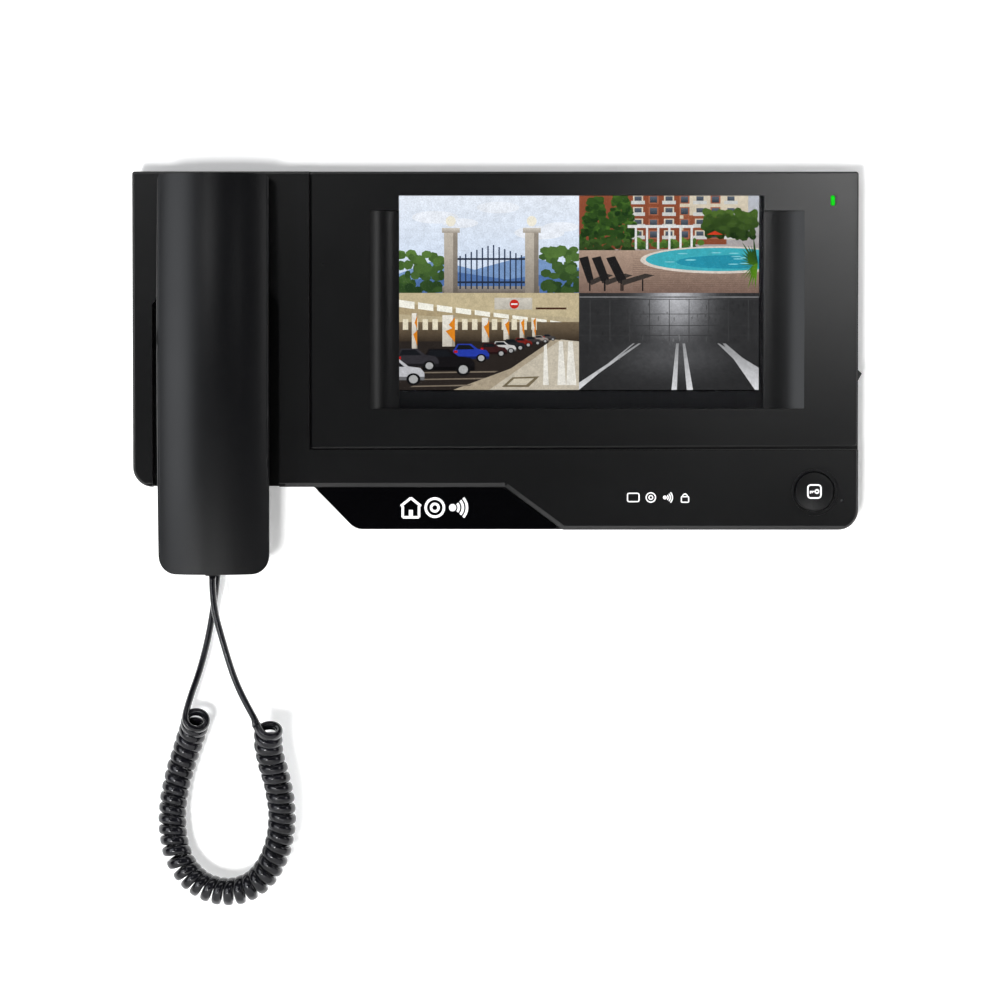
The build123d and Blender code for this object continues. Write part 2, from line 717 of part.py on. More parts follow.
def housing_screws():
    screws = []
    for x, z in HOUSING_SCREWS:
        head = rod(x, z, 3.0, 11.9, 14)
        head -= block(x - 1.8, x + 1.8, z - 0.4, z + 0.4, 11, 12.9)
        head -= block(x - 0.4, x + 0.4, z - 1.8, z + 1.8, 11, 12.9)
        screws.append(head + rod(x, z, 1.4, 14, 27.5))
    return Compound(screws)


# Handset

def handset_side(inset):
    """The handset's side view, as a bar across its whole width."""
    low, high = HANDSET_BOTTOM + inset, HANDSET_TOP - inset
    points = [
        (MOUTH_BACK + 4 + inset, low),
        (HANDSET_FACE + 4, low),
        (HANDSET_FACE + 4, high),
        (EAR_BACK + inset, high),
        (EAR_BACK + inset, 23 - inset),
        (GRIP_BACK + inset, 11 - inset),
        (GRIP_BACK + inset, -61 + inset),
        (MOUTH_BACK + inset, -77 + inset),
        (MOUTH_BACK + inset, low + 4),
    ]
    outline = face(points, [3.0, 1.0, 1.0, 2.0, 7.0, 12.0, 12.0, 7.0, 3.0])
    half = HANDSET_W / 2 - inset
    return extrude(SIDE.offset(-HANDSET_X - half) * outline, 2 * half)


def handset_bow(inset):
    """A bar whose front bulges both across and along the handset."""
    bow_r = 789.0
    half = HANDSET_W / 2 - inset
    crown = HANDSET_FACE - inset
    edge = crown - 6.0
    middle_z = (HANDSET_TOP + HANDSET_BOTTOM) / 2
    across = [
        Line((-half, 20), (half, 20)),
        Line((half, 20), (half, edge - 0.5)),
        ThreePointArc((half, edge - 0.5), (half - 0.35, edge + 0.2), (half - 1.1, edge + 0.6)),
        ThreePointArc((half - 1.1, edge + 0.6), (0, crown), (1.1 - half, edge + 0.6)),
        ThreePointArc((1.1 - half, edge + 0.6), (0.35 - half, edge + 0.2), (-half, edge - 0.5)),
        Line((-half, edge - 0.5), (-half, 20)),
    ]
    middle = Plane(origin=(HANDSET_X, 0, middle_z), x_dir=(1, 0, 0), z_dir=(0, 0, 1))
    section = middle * Rot(180, 0, 0) * make_face(across)
    pivot = Axis((HANDSET_X, bow_r - HANDSET_FACE, middle_z), (1, 0, 0))
    swing = 8.0
    start = section.rotate(pivot, -swing)
    return revolve(start, pivot, 2 * swing)


def handset_ends(inset):
    """The front view's rounded outline, whose sides and ends draw in towards the back."""
    half = HANDSET_W / 2 - inset
    points = [
        (HANDSET_X - half, HANDSET_BOTTOM + inset),
        (HANDSET_X + half, HANDSET_BOTTOM + inset),
        (HANDSET_X + half, HANDSET_TOP - inset),
        (HANDSET_X - half, HANDSET_TOP - inset),
    ]
    low, high = 7.8 - inset, 1.6
    outline = face(points, [low, low, high, high])
    widest = HANDSET_FACE - 6
    drafted = extrude(FRONT.offset(widest) * outline, -40, taper=HANDSET_DRAFT)
    return slab(outline, widest, 70) + drafted


def ear_cup(inset, back, front):
    middle = (EAR_CUP_BOTTOM + EAR_CUP_TOP) / 2
    height = EAR_CUP_TOP - EAR_CUP_BOTTOM
    return pad(HANDSET_X, middle, EAR_CUP_W - 2 * inset, height - 2 * inset, 8 - inset, back, front)


def handset_solid(inset=0.0):
    return handset_side(inset) & handset_bow(inset) & handset_ends(inset)


def handset_shell(inset_wall):
    outer = handset_solid() + ear_cup(0, EAR_CUP_BACK, EAR_BACK + 3)
    inner = handset_solid(inset_wall) + ear_cup(inset_wall, EAR_CUP_BACK + 2, EAR_BACK + 6)
    return outer - inner


def handset_front_shell(shell):
    return shell & block(-200, -60, -150, 100, HANDSET_SPLIT, 80)


def handset_rear_shell(shell):
    rear = shell & block(-200, -60, -150, 100, 0, HANDSET_SPLIT - 0.05)
    rear -= rod(HANDSET_X, EAR_Z, 12.1, 20, 33)
    rear -= rod(HANDSET_X, MOUTH_Z, 1.0, 20, 34)
    for x in (-6, 6):
        rear -= rod(HANDSET_X + x, MOUTH_Z, 0.8, 20, 34)
    for z in HANDSET_SCREWS_Z:
        rear += rod(HANDSET_X, z, 4, GRIP_BACK + 1, HANDSET_SPLIT - 0.05)
        rear -= rod(HANDSET_X, z, 3.1, 38, GRIP_BACK + 2)
        rear -= rod(HANDSET_X, z, 1.6, 40, 50)
    return rear


def earpiece_grille():
    plate = rod(HANDSET_X, EAR_Z, 12.0, EAR_CUP_BACK, EAR_CUP_BACK + 2)
    holes = [rod(HANDSET_X, EAR_Z, 0.9, 27, 31)]
    for ring_r, count in [(3.5, 6), (7.0, 12)]:
        for i in range(count):
            turn = 2 * pi * i / count
            x, z = HANDSET_X + ring_r * cos(turn), EAR_Z + ring_r * sin(turn)
            holes.append(rod(x, z, 0.9, 27, 31))
    return plate - Compound(holes)


def earpiece_gasket():
    ring = rod(HANDSET_X, EAR_Z, 13.2, EAR_CUP_BACK + 2.2, EAR_CUP_BACK + 3.2)
    return ring - rod(HANDSET_X, EAR_Z, 11.0, 25, 40)


def earpiece_speaker():
    back = EAR_CUP_BACK + 3.3
    frame = rod(HANDSET_X, EAR_Z, 13.2, back, back + 3.0)
    frame -= rod(HANDSET_X, EAR_Z, 12, back - 1, back + 1.2)
    return frame + rod(HANDSET_X, EAR_Z, 8, back + 2.5, back + 6.5)


def handset_microphone():
    return rod(HANDSET_X, MOUTH_Z, 4.85, 33.2, 37.7)


def handset_microphone_boot():
    boot = rod(HANDSET_X, MOUTH_Z, 6.5, MOUTH_BACK + 2.5, 37.5)
    boot -= rod(HANDSET_X, MOUTH_Z, 4.9, 33.1, 40)
    return boot - rod(HANDSET_X, MOUTH_Z, 1.5, 30, 34)


def handset_weight():
    return pad(HANDSET_X, -26, 26, 44, 2, HANDSET_SPLIT + 0.5, HANDSET_SPLIT + 7.5)


def handset_screws():
    screws = []
    for z in HANDSET_SCREWS_Z:
        head = rod(HANDSET_X, z, 2.9, GRIP_BACK + 0.2, GRIP_BACK + 2)
        head -= block(HANDSET_X - 1.8, HANDSET_X + 1.8, z - 0.4, z + 0.4, 41, 43.2)
        screws.append(head + rod(HANDSET_X, z, 1.4, GRIP_BACK + 2, 54))
    return Compound(screws)


def handset_strain_relief():
    """A rubber boss through the bottom of the handset, with a flange inside."""
    x, y, low = HANDSET_LEAD[0]
    draft_rise = 0.9
    wall_top = HANDSET_BOTTOM + HANDSET_WALL + draft_rise
    high = wall_top + 0.6
    flange = Pos(x, y, wall_top + 1.1) * Cylinder(4.6, 2.0)
    neck = Pos(x, y, (low + high) / 2) * Cylinder(3.0, high - low)
    return flange + neck


# Cord

def corner_radii(points):
    """For each corner, 0.45 of its shorter run over the tangent of half its turn."""
    radii = []
    for before, here, after in zip(points, points[1:], points[2:]):
        into = Vector(*here) - Vector(*before)
        out = Vector(*after) - Vector(*here)
        half_turn = radians(into.get_angle(out)) / 2
        radii.append(0.45 * min(into.length, out.length) / tan(half_turn))
    return radii


def cord_tube(name, points, diameter):
    radii = corner_radii(points)
    path = FilletPolyline(*points, radius=radii)
    start = Plane(origin=path @ 0, z_dir=path % 0)
    tube = sweep(start * Circle(diameter / 2), path)
    share = tube.volume / (pi * diameter ** 2 / 4 * path.length)
    print(f"{name}: length {path.length:.1f}, volume {share:.4f} of section times length")
    return tube


def build():
    shell = handset_shell(HANDSET_WALL)
    lead_x, lead_y, lead_z = HANDSET_LEAD[0]
    lead_hole = Pos(lead_x, lead_y, HANDSET_BOTTOM + 1) * Cylinder(3.1, 6)
    front = front_shell()
    left_of_seam = block(LEFT - 1, PANEL_LEFT, CHIN_BOTTOM - 1, TOP + 1, 0, 50)
    return {
        "wall_bracket": wall_bracket(),
        "bracket_lock_screw": bracket_lock_screw(),
        "rear_housing": rear_housing(),
        "front_housing": front - left_of_seam,
        "cradle_housing": front & left_of_seam,
        "housing_screws": housing_screws(),
        "gloss_plate": gloss_plate(),
        "screen_panel": screen_panel(),
        "screen_window": screen_window(),
        "lcd_frame": lcd_frame(),
        "lcd_cell": lcd_cell(),
        "lcd_backlight": lcd_backlight(),
        "lcd_bracket": lcd_bracket(),
        "lcd_screws": lcd_screws(),
        "lcd_ribbon": lcd_ribbon(),
        "main_pcb": board(MAIN_BOARD, MAIN_BOARD_BACK, MAIN_POSTS),
        "main_chips": main_chips(),
        "main_capacitors": main_capacitors(),
        "main_connectors": main_connectors(),
        "terminal_block": terminal_block(),
        "terminal_screws": terminal_screws(),
        "pcb_screws": pcb_screws(),
        "power_pcb": board(POWER_BOARD, POWER_BOARD_BACK, POWER_POSTS),
        "power_transformer": power_transformer(),
        "power_capacitors": power_capacitors(),
        "power_fuse": power_fuse(),
        "door_relay": door_relay(),
        "board_harness": board_harness(),
        "ring_speaker": ring_speaker(),
        "ring_speaker_cone": ring_speaker_cone(),
        "base_microphone": base_microphone(),
        "microphone_boot": microphone_boot(),
        "led_light_pipe": led_light_pipe(),
        "indicator_led": indicator_led(),
        "led_board": led_board(),
        "release_button": release_button(),
        "release_switch": release_switch(),
        "release_switch_plunger": release_switch_plunger(),
        "button_board": button_board(),
        "volume_slider_knob": volume_slider_knob(),
        "volume_slide_pot": volume_slide_pot(),
        "hook_switch": hook_switch(),
        "hook_plunger": hook_plunger(),
        "handset_front_shell": handset_front_shell(shell) - lead_hole,
        "handset_rear_shell": handset_rear_shell(shell) - lead_hole,
        "earpiece_grille": earpiece_grille(),
        "earpiece_gasket": earpiece_gasket(),
        "earpiece_speaker": earpiece_speaker(),
        "handset_microphone": handset_microphone(),
        "handset_microphone_boot": handset_microphone_boot(),
        "handset_weight": handset_weight(),
        "handset_screws": handset_screws(),
        "handset_strain_relief": handset_strain_relief(),
        "base_cord_gland": base_cord_gland(),
        "base_lead": cord_tube("base_lead", BASE_LEAD, CORD_D),
        "coiled_cord": cord_tube("coiled_cord", COIL, COIL_D),
        "handset_lead": cord_tube("handset_lead", HANDSET_LEAD, CORD_D),
    }


os.makedirs("parts", exist_ok=True)
for name, shape in build().items():
    export_step(shape, f"parts/{name}.step")
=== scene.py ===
import bpy
import random
from math import atan2, cos, exp, radians, sin, tau
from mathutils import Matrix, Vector


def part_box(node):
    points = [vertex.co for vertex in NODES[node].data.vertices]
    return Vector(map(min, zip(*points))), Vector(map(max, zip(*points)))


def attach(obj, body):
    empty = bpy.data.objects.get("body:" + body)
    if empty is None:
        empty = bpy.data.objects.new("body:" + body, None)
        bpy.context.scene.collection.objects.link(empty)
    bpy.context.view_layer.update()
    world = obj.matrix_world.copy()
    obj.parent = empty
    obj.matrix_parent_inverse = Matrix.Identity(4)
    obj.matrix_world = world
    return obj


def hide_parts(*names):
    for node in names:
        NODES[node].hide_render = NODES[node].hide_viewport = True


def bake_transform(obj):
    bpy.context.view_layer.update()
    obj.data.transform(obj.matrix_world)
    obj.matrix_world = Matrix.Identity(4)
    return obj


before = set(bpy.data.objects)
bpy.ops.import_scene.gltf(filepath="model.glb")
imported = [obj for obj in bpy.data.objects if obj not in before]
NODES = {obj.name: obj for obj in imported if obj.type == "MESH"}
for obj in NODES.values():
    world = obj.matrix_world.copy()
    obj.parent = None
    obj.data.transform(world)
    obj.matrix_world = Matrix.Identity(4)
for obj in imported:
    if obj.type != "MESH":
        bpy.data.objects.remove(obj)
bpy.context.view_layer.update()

# Camera: places in metres, lens and sensor in millimetres
FRONT_Y = -0.034
TARGET = Vector((0.0019, FRONT_Y, -0.0738))
DISTANCE = 1.804
ELEVATION = radians(2.25)
LENS = 150
SENSOR = 36

# Stage
WALL_Y = 0.0006
WALL_TOP = 3
STAGE_SIDE = 3
FLOOR_Z = -0.75
FLOOR_NEAR, FLOOR_FAR = -4, 3
WORLD_GREY = (0.022, 0.0225, 0.024, 1)

# Cord routes, in metres
BASE_LEAD = [
    (-0.1206, -0.0135, -0.0760),
    (-0.1206, -0.0135, -0.0920),
    (-0.1221, -0.0142, -0.1100),
    (-0.1247, -0.0160, -0.1300),
    (-0.1289, -0.0196, -0.1480),
    (-0.1336, -0.0250, -0.1612),
    (-0.1350, -0.0292, -0.1676),
]
COIL = [
    (-0.1302, -0.0300, -0.1688),
    (-0.1310, -0.0240, -0.1712),
    (-0.1342, -0.0188, -0.1804),
    (-0.1400, -0.0172, -0.1980),
    (-0.1422, -0.0186, -0.2146),
    (-0.1394, -0.0214, -0.2310),
    (-0.1302, -0.0246, -0.2424),
    (-0.1164, -0.0276, -0.2460),
    (-0.1034, -0.0306, -0.2412),
    (-0.0952, -0.0336, -0.2284),
    (-0.0920, -0.0368, -0.2124),
    (-0.0940, -0.0400, -0.1966),
    (-0.0976, -0.0424, -0.1844),
    (-0.0984, -0.0448, -0.1756),
    (-0.0974, -0.0500, -0.1706),
]
HANDSET_LEAD = [
    (-0.1220, -0.0450, -0.1060),
    (-0.1220, -0.0450, -0.1180),
    (-0.1178, -0.0451, -0.1335),
    (-0.1130, -0.0456, -0.1495),
    (-0.1076, -0.0468, -0.1610),
    (-0.1026, -0.0496, -0.1692),
]
CORD_WIDE = 0.0042
CORD_THIN = 0.0029
COIL_RADIUS = 0.00475
COIL_TURNS = 40
COIL_STEP, COIL_TRIM, COIL_RESOLUTION = 0.000161, 4, 48
LEAD_STEP, LEAD_TRIM, LEAD_RESOLUTION = 0.0016, 2, 24
BRIDGE_STEPS = 6
SECTION_POINTS = 16
SECTION_POWER = 0.85
# The coil's ends open out: extra pitch there, and the share of the coil it covers
END_PITCH, END_REACH = 0.32, 0.07
# Where along the coil its turns stand further apart or closer: share, reach, extra pitch
LOOSE_TURNS = [(0.37, 0.02, 0.28), (0.43, 0.015, -0.1), (0.54, 0.04, 0.08), (0.68, 0.02, 0.06)]

# Placing on the base
BUTTON_X, BUTTON_Z = 0.1380, -0.0701
PLATE_PRINT = (-0.0264, -0.0773)
STRIP_PRINT = (0.0708, -0.0727)
PRINT_LIFT = 0.00003
BUTTON_RIM = 0.00035
BUTTON_DOME_RADIUS = 0.09
PICTURE_LEFT, PICTURE_RIGHT = -0.0418, 0.1141
PICTURE_LOW, PICTURE_HIGH = -0.0262, 0.0578
PICTURE_Y = -0.02742
PICTURE_LAYER = 0.0000003
PICTURE_SEED = 11


def make_camera():
    data = bpy.data.cameras.new("camera")
    data.lens = LENS
    data.sensor_width = SENSOR
    data.clip_end = 30
    camera = bpy.data.objects.new("camera", data)
    away = Vector((0, -cos(ELEVATION), sin(ELEVATION)))
    camera.location = TARGET + away * DISTANCE
    camera.rotation_euler = (-away).to_track_quat("-Z", "Y").to_euler()
    bpy.context.scene.collection.objects.link(camera)
    bpy.context.scene.camera = camera


def link(name, mesh, mat):
    piece = bpy.data.objects.new(name, mesh)
    bpy.context.scene.collection.objects.link(piece)
    mesh.materials.append(mat)
    return piece


# Cord

def route_points(route, steps):
    """The points of the route's NURBS spline, with the route as its control points."""
    curve = bpy.data.curves.new("route", "CURVE")
    curve.dimensions = "3D"
    curve.resolution_u = steps
    spline = curve.splines.new("NURBS")
    spline.points.add(len(route) - 1)
    for point, place in zip(spline.points, route):
        point.co = (*place, 1)
    spline.order_u = 3
    spline.use_endpoint_u = True
    holder = bpy.data.objects.new("route", curve)
    mesh = bpy.data.meshes.new_from_object(holder)
    points = [vertex.co.copy() for vertex in mesh.vertices]
    bpy.data.objects.remove(holder)
    bpy.data.meshes.remove(mesh)
    bpy.data.curves.remove(curve)
    return points


def evenly(points, spacing):
    """Points an even distance apart along a polyline, both ends kept."""
    runs = [(b - a).length for a, b in zip(points, points[1:])]
    total = sum(runs)
    count = max(2, round(total / spacing))
    placed, index, passed = [], 0, 0.0
    for i in range(count + 1):
        wanted = total * i / count
        while index < len(runs) - 1 and passed + runs[index] < wanted:
            passed += runs[index]
            index += 1
        share = (wanted - passed) / runs[index]
        placed.append(points[index].lerp(points[index + 1], min(max(share, 0), 1)))
    return placed


def tangents(points):
    found = []
    for i in range(len(points)):
        before, after = points[max(i - 1, 0)], points[min(i + 1, len(points) - 1)]
        found.append((after - before).normalized())
    return found


def across(direction, along):
    """The part of a direction that is square to another, at unit length."""
    return (direction - direction.dot(along) * along).normalized()


def turning_speed(count):
    """How fast the wire turns at each step along the coil: slower where its turns stand apart."""
    speed = []
    for i in range(count):
        pitch = 1 + END_PITCH * max(0, 1 - min(i, count - i) / (count * END_REACH))
        for place, reach, extra in LOOSE_TURNS:
            pitch += extra * exp(-((i / count - place) / reach) ** 2)
        speed.append(1 / pitch)
    return speed


def helix(axis_points):
    """Left-handed turns about the coil's line, that start and end at its left side.

    Gives each point of the wire with the direction of the coil's axis there.
    """
    axis = tangents(axis_points)
    side = [across(Vector((-1, 0, 0)), axis[0])]
    for direction in axis[1:]:
        side.append(across(side[-1], direction))
    last = across(Vector((-1, 0, 0)), axis[-1])
    square = axis[-1].cross(side[-1])
    whole = tau * COIL_TURNS - atan2(last.dot(square), last.dot(side[-1]))
    count = len(axis_points) - 1
    speed = turning_speed(count)
    turned, total = 0.0, sum(speed)
    wire = []
    for i, centre in enumerate(axis_points):
        swing = whole * turned / total
        normal = axis[i].cross(side[i])
        radius = COIL_RADIUS * (1 + 0.012 * sin(swing * 0.37) + 0.008 * sin(swing * 0.083 + 1))
        wire.append((centre + radius * (cos(swing) * side[i] - sin(swing) * normal), axis[i].copy()))
        if i < count:
            turned += speed[i]
    return wire


def bridge(start, start_way, end, end_way, steps):
    """Points of one smooth curve between two ends, without the ends."""
    reach = (end - start).length
    placed = []
    for i in range(1, steps):
        t = i / steps
        placed.append(
            (2 * t ** 3 - 3 * t ** 2 + 1) * start
            + (t ** 3 - 2 * t ** 2 + t) * reach * start_way
            + (3 * t ** 2 - 2 * t ** 3) * end
            + (t ** 3 - t ** 2) * reach * end_way
        )
    return placed


def lead(route):
    """A straight lead's points, short of where it meets the coil."""
    wide = Vector((0, 1, 0))
    points = evenly(route_points(route, LEAD_RESOLUTION), LEAD_STEP)
    return [(point, wide) for point in points[:-LEAD_TRIM]]


def cord_line():
    """The wire's centre line, with the direction of its wide side at each point."""
    axis_points = evenly(route_points(COIL, COIL_RESOLUTION), COIL_STEP)
    turns = helix(axis_points)[COIL_TRIM:-COIL_TRIM]
    line = lead(BASE_LEAD)
    for later in (turns, lead(HANDSET_LEAD)[::-1]):
        start, end = line[-1], later[0]
        start_way = (start[0] - line[-2][0]).normalized()
        end_way = (later[1][0] - end[0]).normalized()
        middle = bridge(start[0], start_way, end[0], end_way, BRIDGE_STEPS)
        for i, point in enumerate(middle, 1):
            line.append((point, start[1].lerp(end[1], i / BRIDGE_STEPS).normalized()))
        line += later
    return line


def oval_tube(name, line, wide, thin, mat):
    """A closed tube along a line whose section is a rounded flat oval."""
    places = [point for point, _ in line]
    ways = tangents(places)
    vertices, faces = [], []
    for (place, broad), way in zip(line, ways):
        broad = across(broad, way)
        narrow = way.cross(broad)
        for i in range(SECTION_POINTS):
            turn = tau * i / SECTION_POINTS
            a, b = cos(turn), sin(turn)
            a = (abs(a) ** SECTION_POWER) * (1 if a >= 0 else -1)
            b = (abs(b) ** SECTION_POWER) * (1 if b >= 0 else -1)
            vertices.append(place + broad * a * wide / 2 + narrow * b * thin / 2)
    rings = len(line)
    for ring in range(rings - 1):
        for i in range(SECTION_POINTS):
            a = ring * SECTION_POINTS + i
            b = ring * SECTION_POINTS + (i + 1) % SECTION_POINTS
            faces.append((a, b, b + SECTION_POINTS, a + SECTION_POINTS))
    faces.append(tuple(reversed(range(SECTION_POINTS))))
    faces.append(tuple(range((rings - 1) * SECTION_POINTS, rings * SECTION_POINTS)))
    mesh = bpy.data.meshes.new(name)
    mesh.from_pydata(vertices, [], faces)
    mesh.polygons.foreach_set("use_smooth", [True] * len(mesh.polygons))
    mesh.update()
    return link(name, mesh, mat)


def make_cord():
    line = cord_line()
    piece = oval_tube("handset_cord", line, CORD_WIDE, CORD_THIN, cord_jacket())
    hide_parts("base_lead", "coiled_cord", "handset_lead")
    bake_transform(piece)


# Materials

def srgb(red, green, blue):
    """A colour given as 0 to 255 screen values, as the shader wants it."""
    linear = []
    for value in (red, green, blue):
        value /= 255
        linear.append(value / 12.92 if value <= 0.04045 else ((value + 0.055) / 1.055) ** 2.4)
    return (*linear, 1)


def new_material(name):
    mat = bpy.data.materials.new(name)
    mat.use_nodes = True
    return mat, mat.node_tree, mat.node_tree.nodes["Principled BSDF"]


def texture(tree, kind, scale, **settings):
    """A texture node in the object's own metres."""
    coords = tree.nodes.new("ShaderNodeTexCoord")
    node = tree.nodes.new(kind)
    tree.links.new(coords.outputs["Object"], node.inputs["Vector"])
    node.inputs["Scale"].default_value = scale
    for key, value in settings.items():
        node.inputs[key.replace("_", " ")].default_value = value
    return node


def output_of(node):
    return node.outputs["Fac"] if "Fac" in node.outputs else node.outputs[0]


def spread(tree, value, low, high, start=0.3, end=0.7):
    """A texture's value mapped to the range from low to high."""
    node = tree.nodes.new("ShaderNodeMapRange")
    node.inputs["From Min"].default_value = start
    node.inputs["From Max"].default_value = end
    node.inputs["To Min"].default_value = low
    node.inputs["To Max"].default_value = high
    tree.links.new(value, node.inputs["Value"])
    return node.outputs["Result"]


def blend_colours(tree, value, first, second):
    """A colour between two, as value goes from 0 to 1. The first may come from another node."""
    node = tree.nodes.new("ShaderNodeMix")
    node.data_type = "RGBA"
    if isinstance(first, bpy.types.NodeSocket):
        tree.links.new(first, node.inputs["A"])
    else:
        node.inputs["A"].default_value = first
    node.inputs["B"].default_value = second
    tree.links.new(value, node.inputs["Factor"])
    return node.outputs["Result"]


def finish(tree, shader, value, dark, light, smooth, rough):
    """Base colour and roughness that both follow one texture; gives the colour."""
    tone = blend_colours(tree, spread(tree, value, 0, 1), dark, light)
    tree.links.new(tone, shader.inputs["Base Color"])
    tree.links.new(spread(tree, value, smooth, rough), shader.inputs["Roughness"])
    return tone


def bump(tree, value, distance, strength=1.0, under=None):
    node = tree.nodes.new("ShaderNodeBump")
    node.inputs["Strength"].default_value = strength
    node.inputs["Distance"].default_value = distance
    tree.links.new(value, node.inputs["Height"])
    if under:
        tree.links.new(under, node.inputs["Normal"])
    return node.outputs["Normal"]


def shade(colour, factor):
    return (colour[0] * factor, colour[1] * factor, colour[2] * factor, 1)


def moulded(name, colour, rough, grain=1900, depth=0.000012, spec=0.5, smudge=0.05):
    """Injection-moulded plastic: fine spark texture, slow changes in tone and gloss."""
    mat, tree, shader = new_material(name)
    slow = texture(tree, "ShaderNodeTexNoise", 14, Detail=3, Roughness=0.55)
    fine = texture(tree, "ShaderNodeTexNoise", grain, Detail=2, Roughness=0.6)
    speck = texture(tree, "ShaderNodeTexVoronoi", grain * 0.6)
    dark, light = shade(colour, 0.86), shade(colour, 1.12)
    finish(tree, shader, output_of(slow), dark, light, rough - smudge, rough + smudge)
    low = bump(tree, speck.outputs["Distance"], depth * 0.6, 0.5)
    tree.links.new(bump(tree, output_of(fine), depth, 0.8, low), shader.inputs["Normal"])
    shader.inputs["Specular IOR Level"].default_value = spec
    return mat


def polished(name, colour, rough=0.06, coat=0.0):
    """High-gloss plastic with faint wiping haze."""
    mat, tree, shader = new_material(name)
    haze = texture(tree, "ShaderNodeTexNoise", 55, Detail=4, Roughness=0.6, Distortion=0.6)
    dust = texture(tree, "ShaderNodeTexVoronoi", 900)
    finish(tree, shader, output_of(haze), shade(colour, 0.9), shade(colour, 1.15), rough, rough + 0.07)
    tree.links.new(bump(tree, dust.outputs["Distance"], 0.000002, 0.4), shader.inputs["Normal"])
    shader.inputs["Coat Weight"].default_value = coat
    shader.inputs["Coat Roughness"].default_value = 0.05
    return mat


def cord_jacket():
    """Glossy extruded PVC, with a fine bump and a little bloom."""
    mat, tree, shader = new_material("cord_jacket")
    bloom = texture(tree, "ShaderNodeTexNoise", 160, Detail=3, Roughness=0.6)
    fine = texture(tree, "ShaderNodeTexNoise", 1500, Detail=2)
    finish(tree, shader, output_of(bloom), srgb(9, 9, 12), srgb(19, 19, 24), 0.14, 0.22)
    tree.links.new(bump(tree, output_of(fine), 0.000006, 0.5), shader.inputs["Normal"])
    shader.inputs["Specular IOR Level"].default_value = 0.6
    return mat


def metal(name, colour, rough, brush=(1, 1, 40), scale=120):
    """Rolled or turned metal with fine directional scratches."""
    mat, tree, shader = new_material(name)
    coords = tree.nodes.new("ShaderNodeTexCoord")
    stretch = tree.nodes.new("ShaderNodeMapping")
    stretch.inputs["Scale"].default_value = brush
    lines = tree.nodes.new("ShaderNodeTexNoise")
    lines.inputs["Scale"].default_value = scale
    lines.inputs["Detail"].default_value = 4
    tree.links.new(coords.outputs["Object"], stretch.inputs["Vector"])
    tree.links.new(stretch.outputs["Vector"], lines.inputs["Vector"])
    finish(tree, shader, lines.outputs["Fac"], shade(colour, 0.82), colour, rough - 0.06, rough + 0.08)
    tree.links.new(bump(tree, lines.outputs["Fac"], 0.000008, 0.5), shader.inputs["Normal"])
    shader.inputs["Metallic"].default_value = 1
    return mat


def circuit_board(name):
    """Green solder mask over etched tracks and drilled pads."""
    mat, tree, shader = new_material(name)
    tracks = texture(tree, "ShaderNodeTexVoronoi", 260)
    tracks.distance = "MANHATTAN"
    pads = texture(tree, "ShaderNodeTexVoronoi", 420)
    edge = spread(tree, tracks.outputs["Distance"], 0, 1, 0.42, 0.5)
    green = blend_colours(tree, edge, srgb(14, 62, 34), srgb(26, 92, 50))
    dot = spread(tree, pads.outputs["Distance"], 1, 0, 0.08, 0.14)
    tinned = blend_colours(tree, dot, green, srgb(176, 170, 150))
    tree.links.new(tinned, shader.inputs["Base Color"])
    tree.links.new(spread(tree, pads.outputs["Distance"], 0.25, 0.42), shader.inputs["Roughness"])
    tree.links.new(bump(tree, edge, 0.00003, 0.6), shader.inputs["Normal"])
    return mat


def rubber(name, colour, rough=0.75):
    """Matte moulded rubber or foam."""
    return moulded(name, colour, rough, grain=1200, depth=0.00002, spec=0.35, smudge=0.08)


def clear(name, tint, rough=0.02):
    """Clear moulded acrylic or glass with a trace of haze."""
    mat, tree, shader = new_material(name)
    haze = texture(tree, "ShaderNodeTexNoise", 40, Detail=3)
    finish(tree, shader, output_of(haze), tint, shade(tint, 0.96), rough, rough + 0.03)
    shader.inputs["Transmission Weight"].default_value = 1
    shader.inputs["IOR"].default_value = 1.49
    return mat


def glowing(name, colour, strength):
    """A lit lens with a faint grain."""
    mat, tree, shader = new_material(name)
    grain = texture(tree, "ShaderNodeTexNoise", 700, Detail=2)
    tone = finish(tree, shader, output_of(grain), shade(colour, 0.8), colour, 0.4, 0.5)
    tree.links.new(tone, shader.inputs["Emission Color"])
    shader.inputs["Emission Strength"].default_value = strength
    shader.inputs["Specular IOR Level"].default_value = 0.15
    return mat


def fabric_cone(name):
    """Pressed paper pulp with a coarse fibre."""
    mat, tree, shader = new_material(name)
    fibre = texture(tree, "ShaderNodeTexNoise", 900, Detail=6, Roughness=0.75)
    finish(tree, shader, output_of(fibre), srgb(28, 27, 26), srgb(70, 67, 62), 0.75, 0.95)
    tree.links.new(bump(tree, output_of(fibre), 0.00008, 1.0), shader.inputs["Normal"])
    return mat


def give(mat, *names):
    """The material goes on each of these CAD nodes."""
    for name in names:
        mesh = NODES[name].data
        mesh.materials.clear()
        mesh.materials.append(mat)


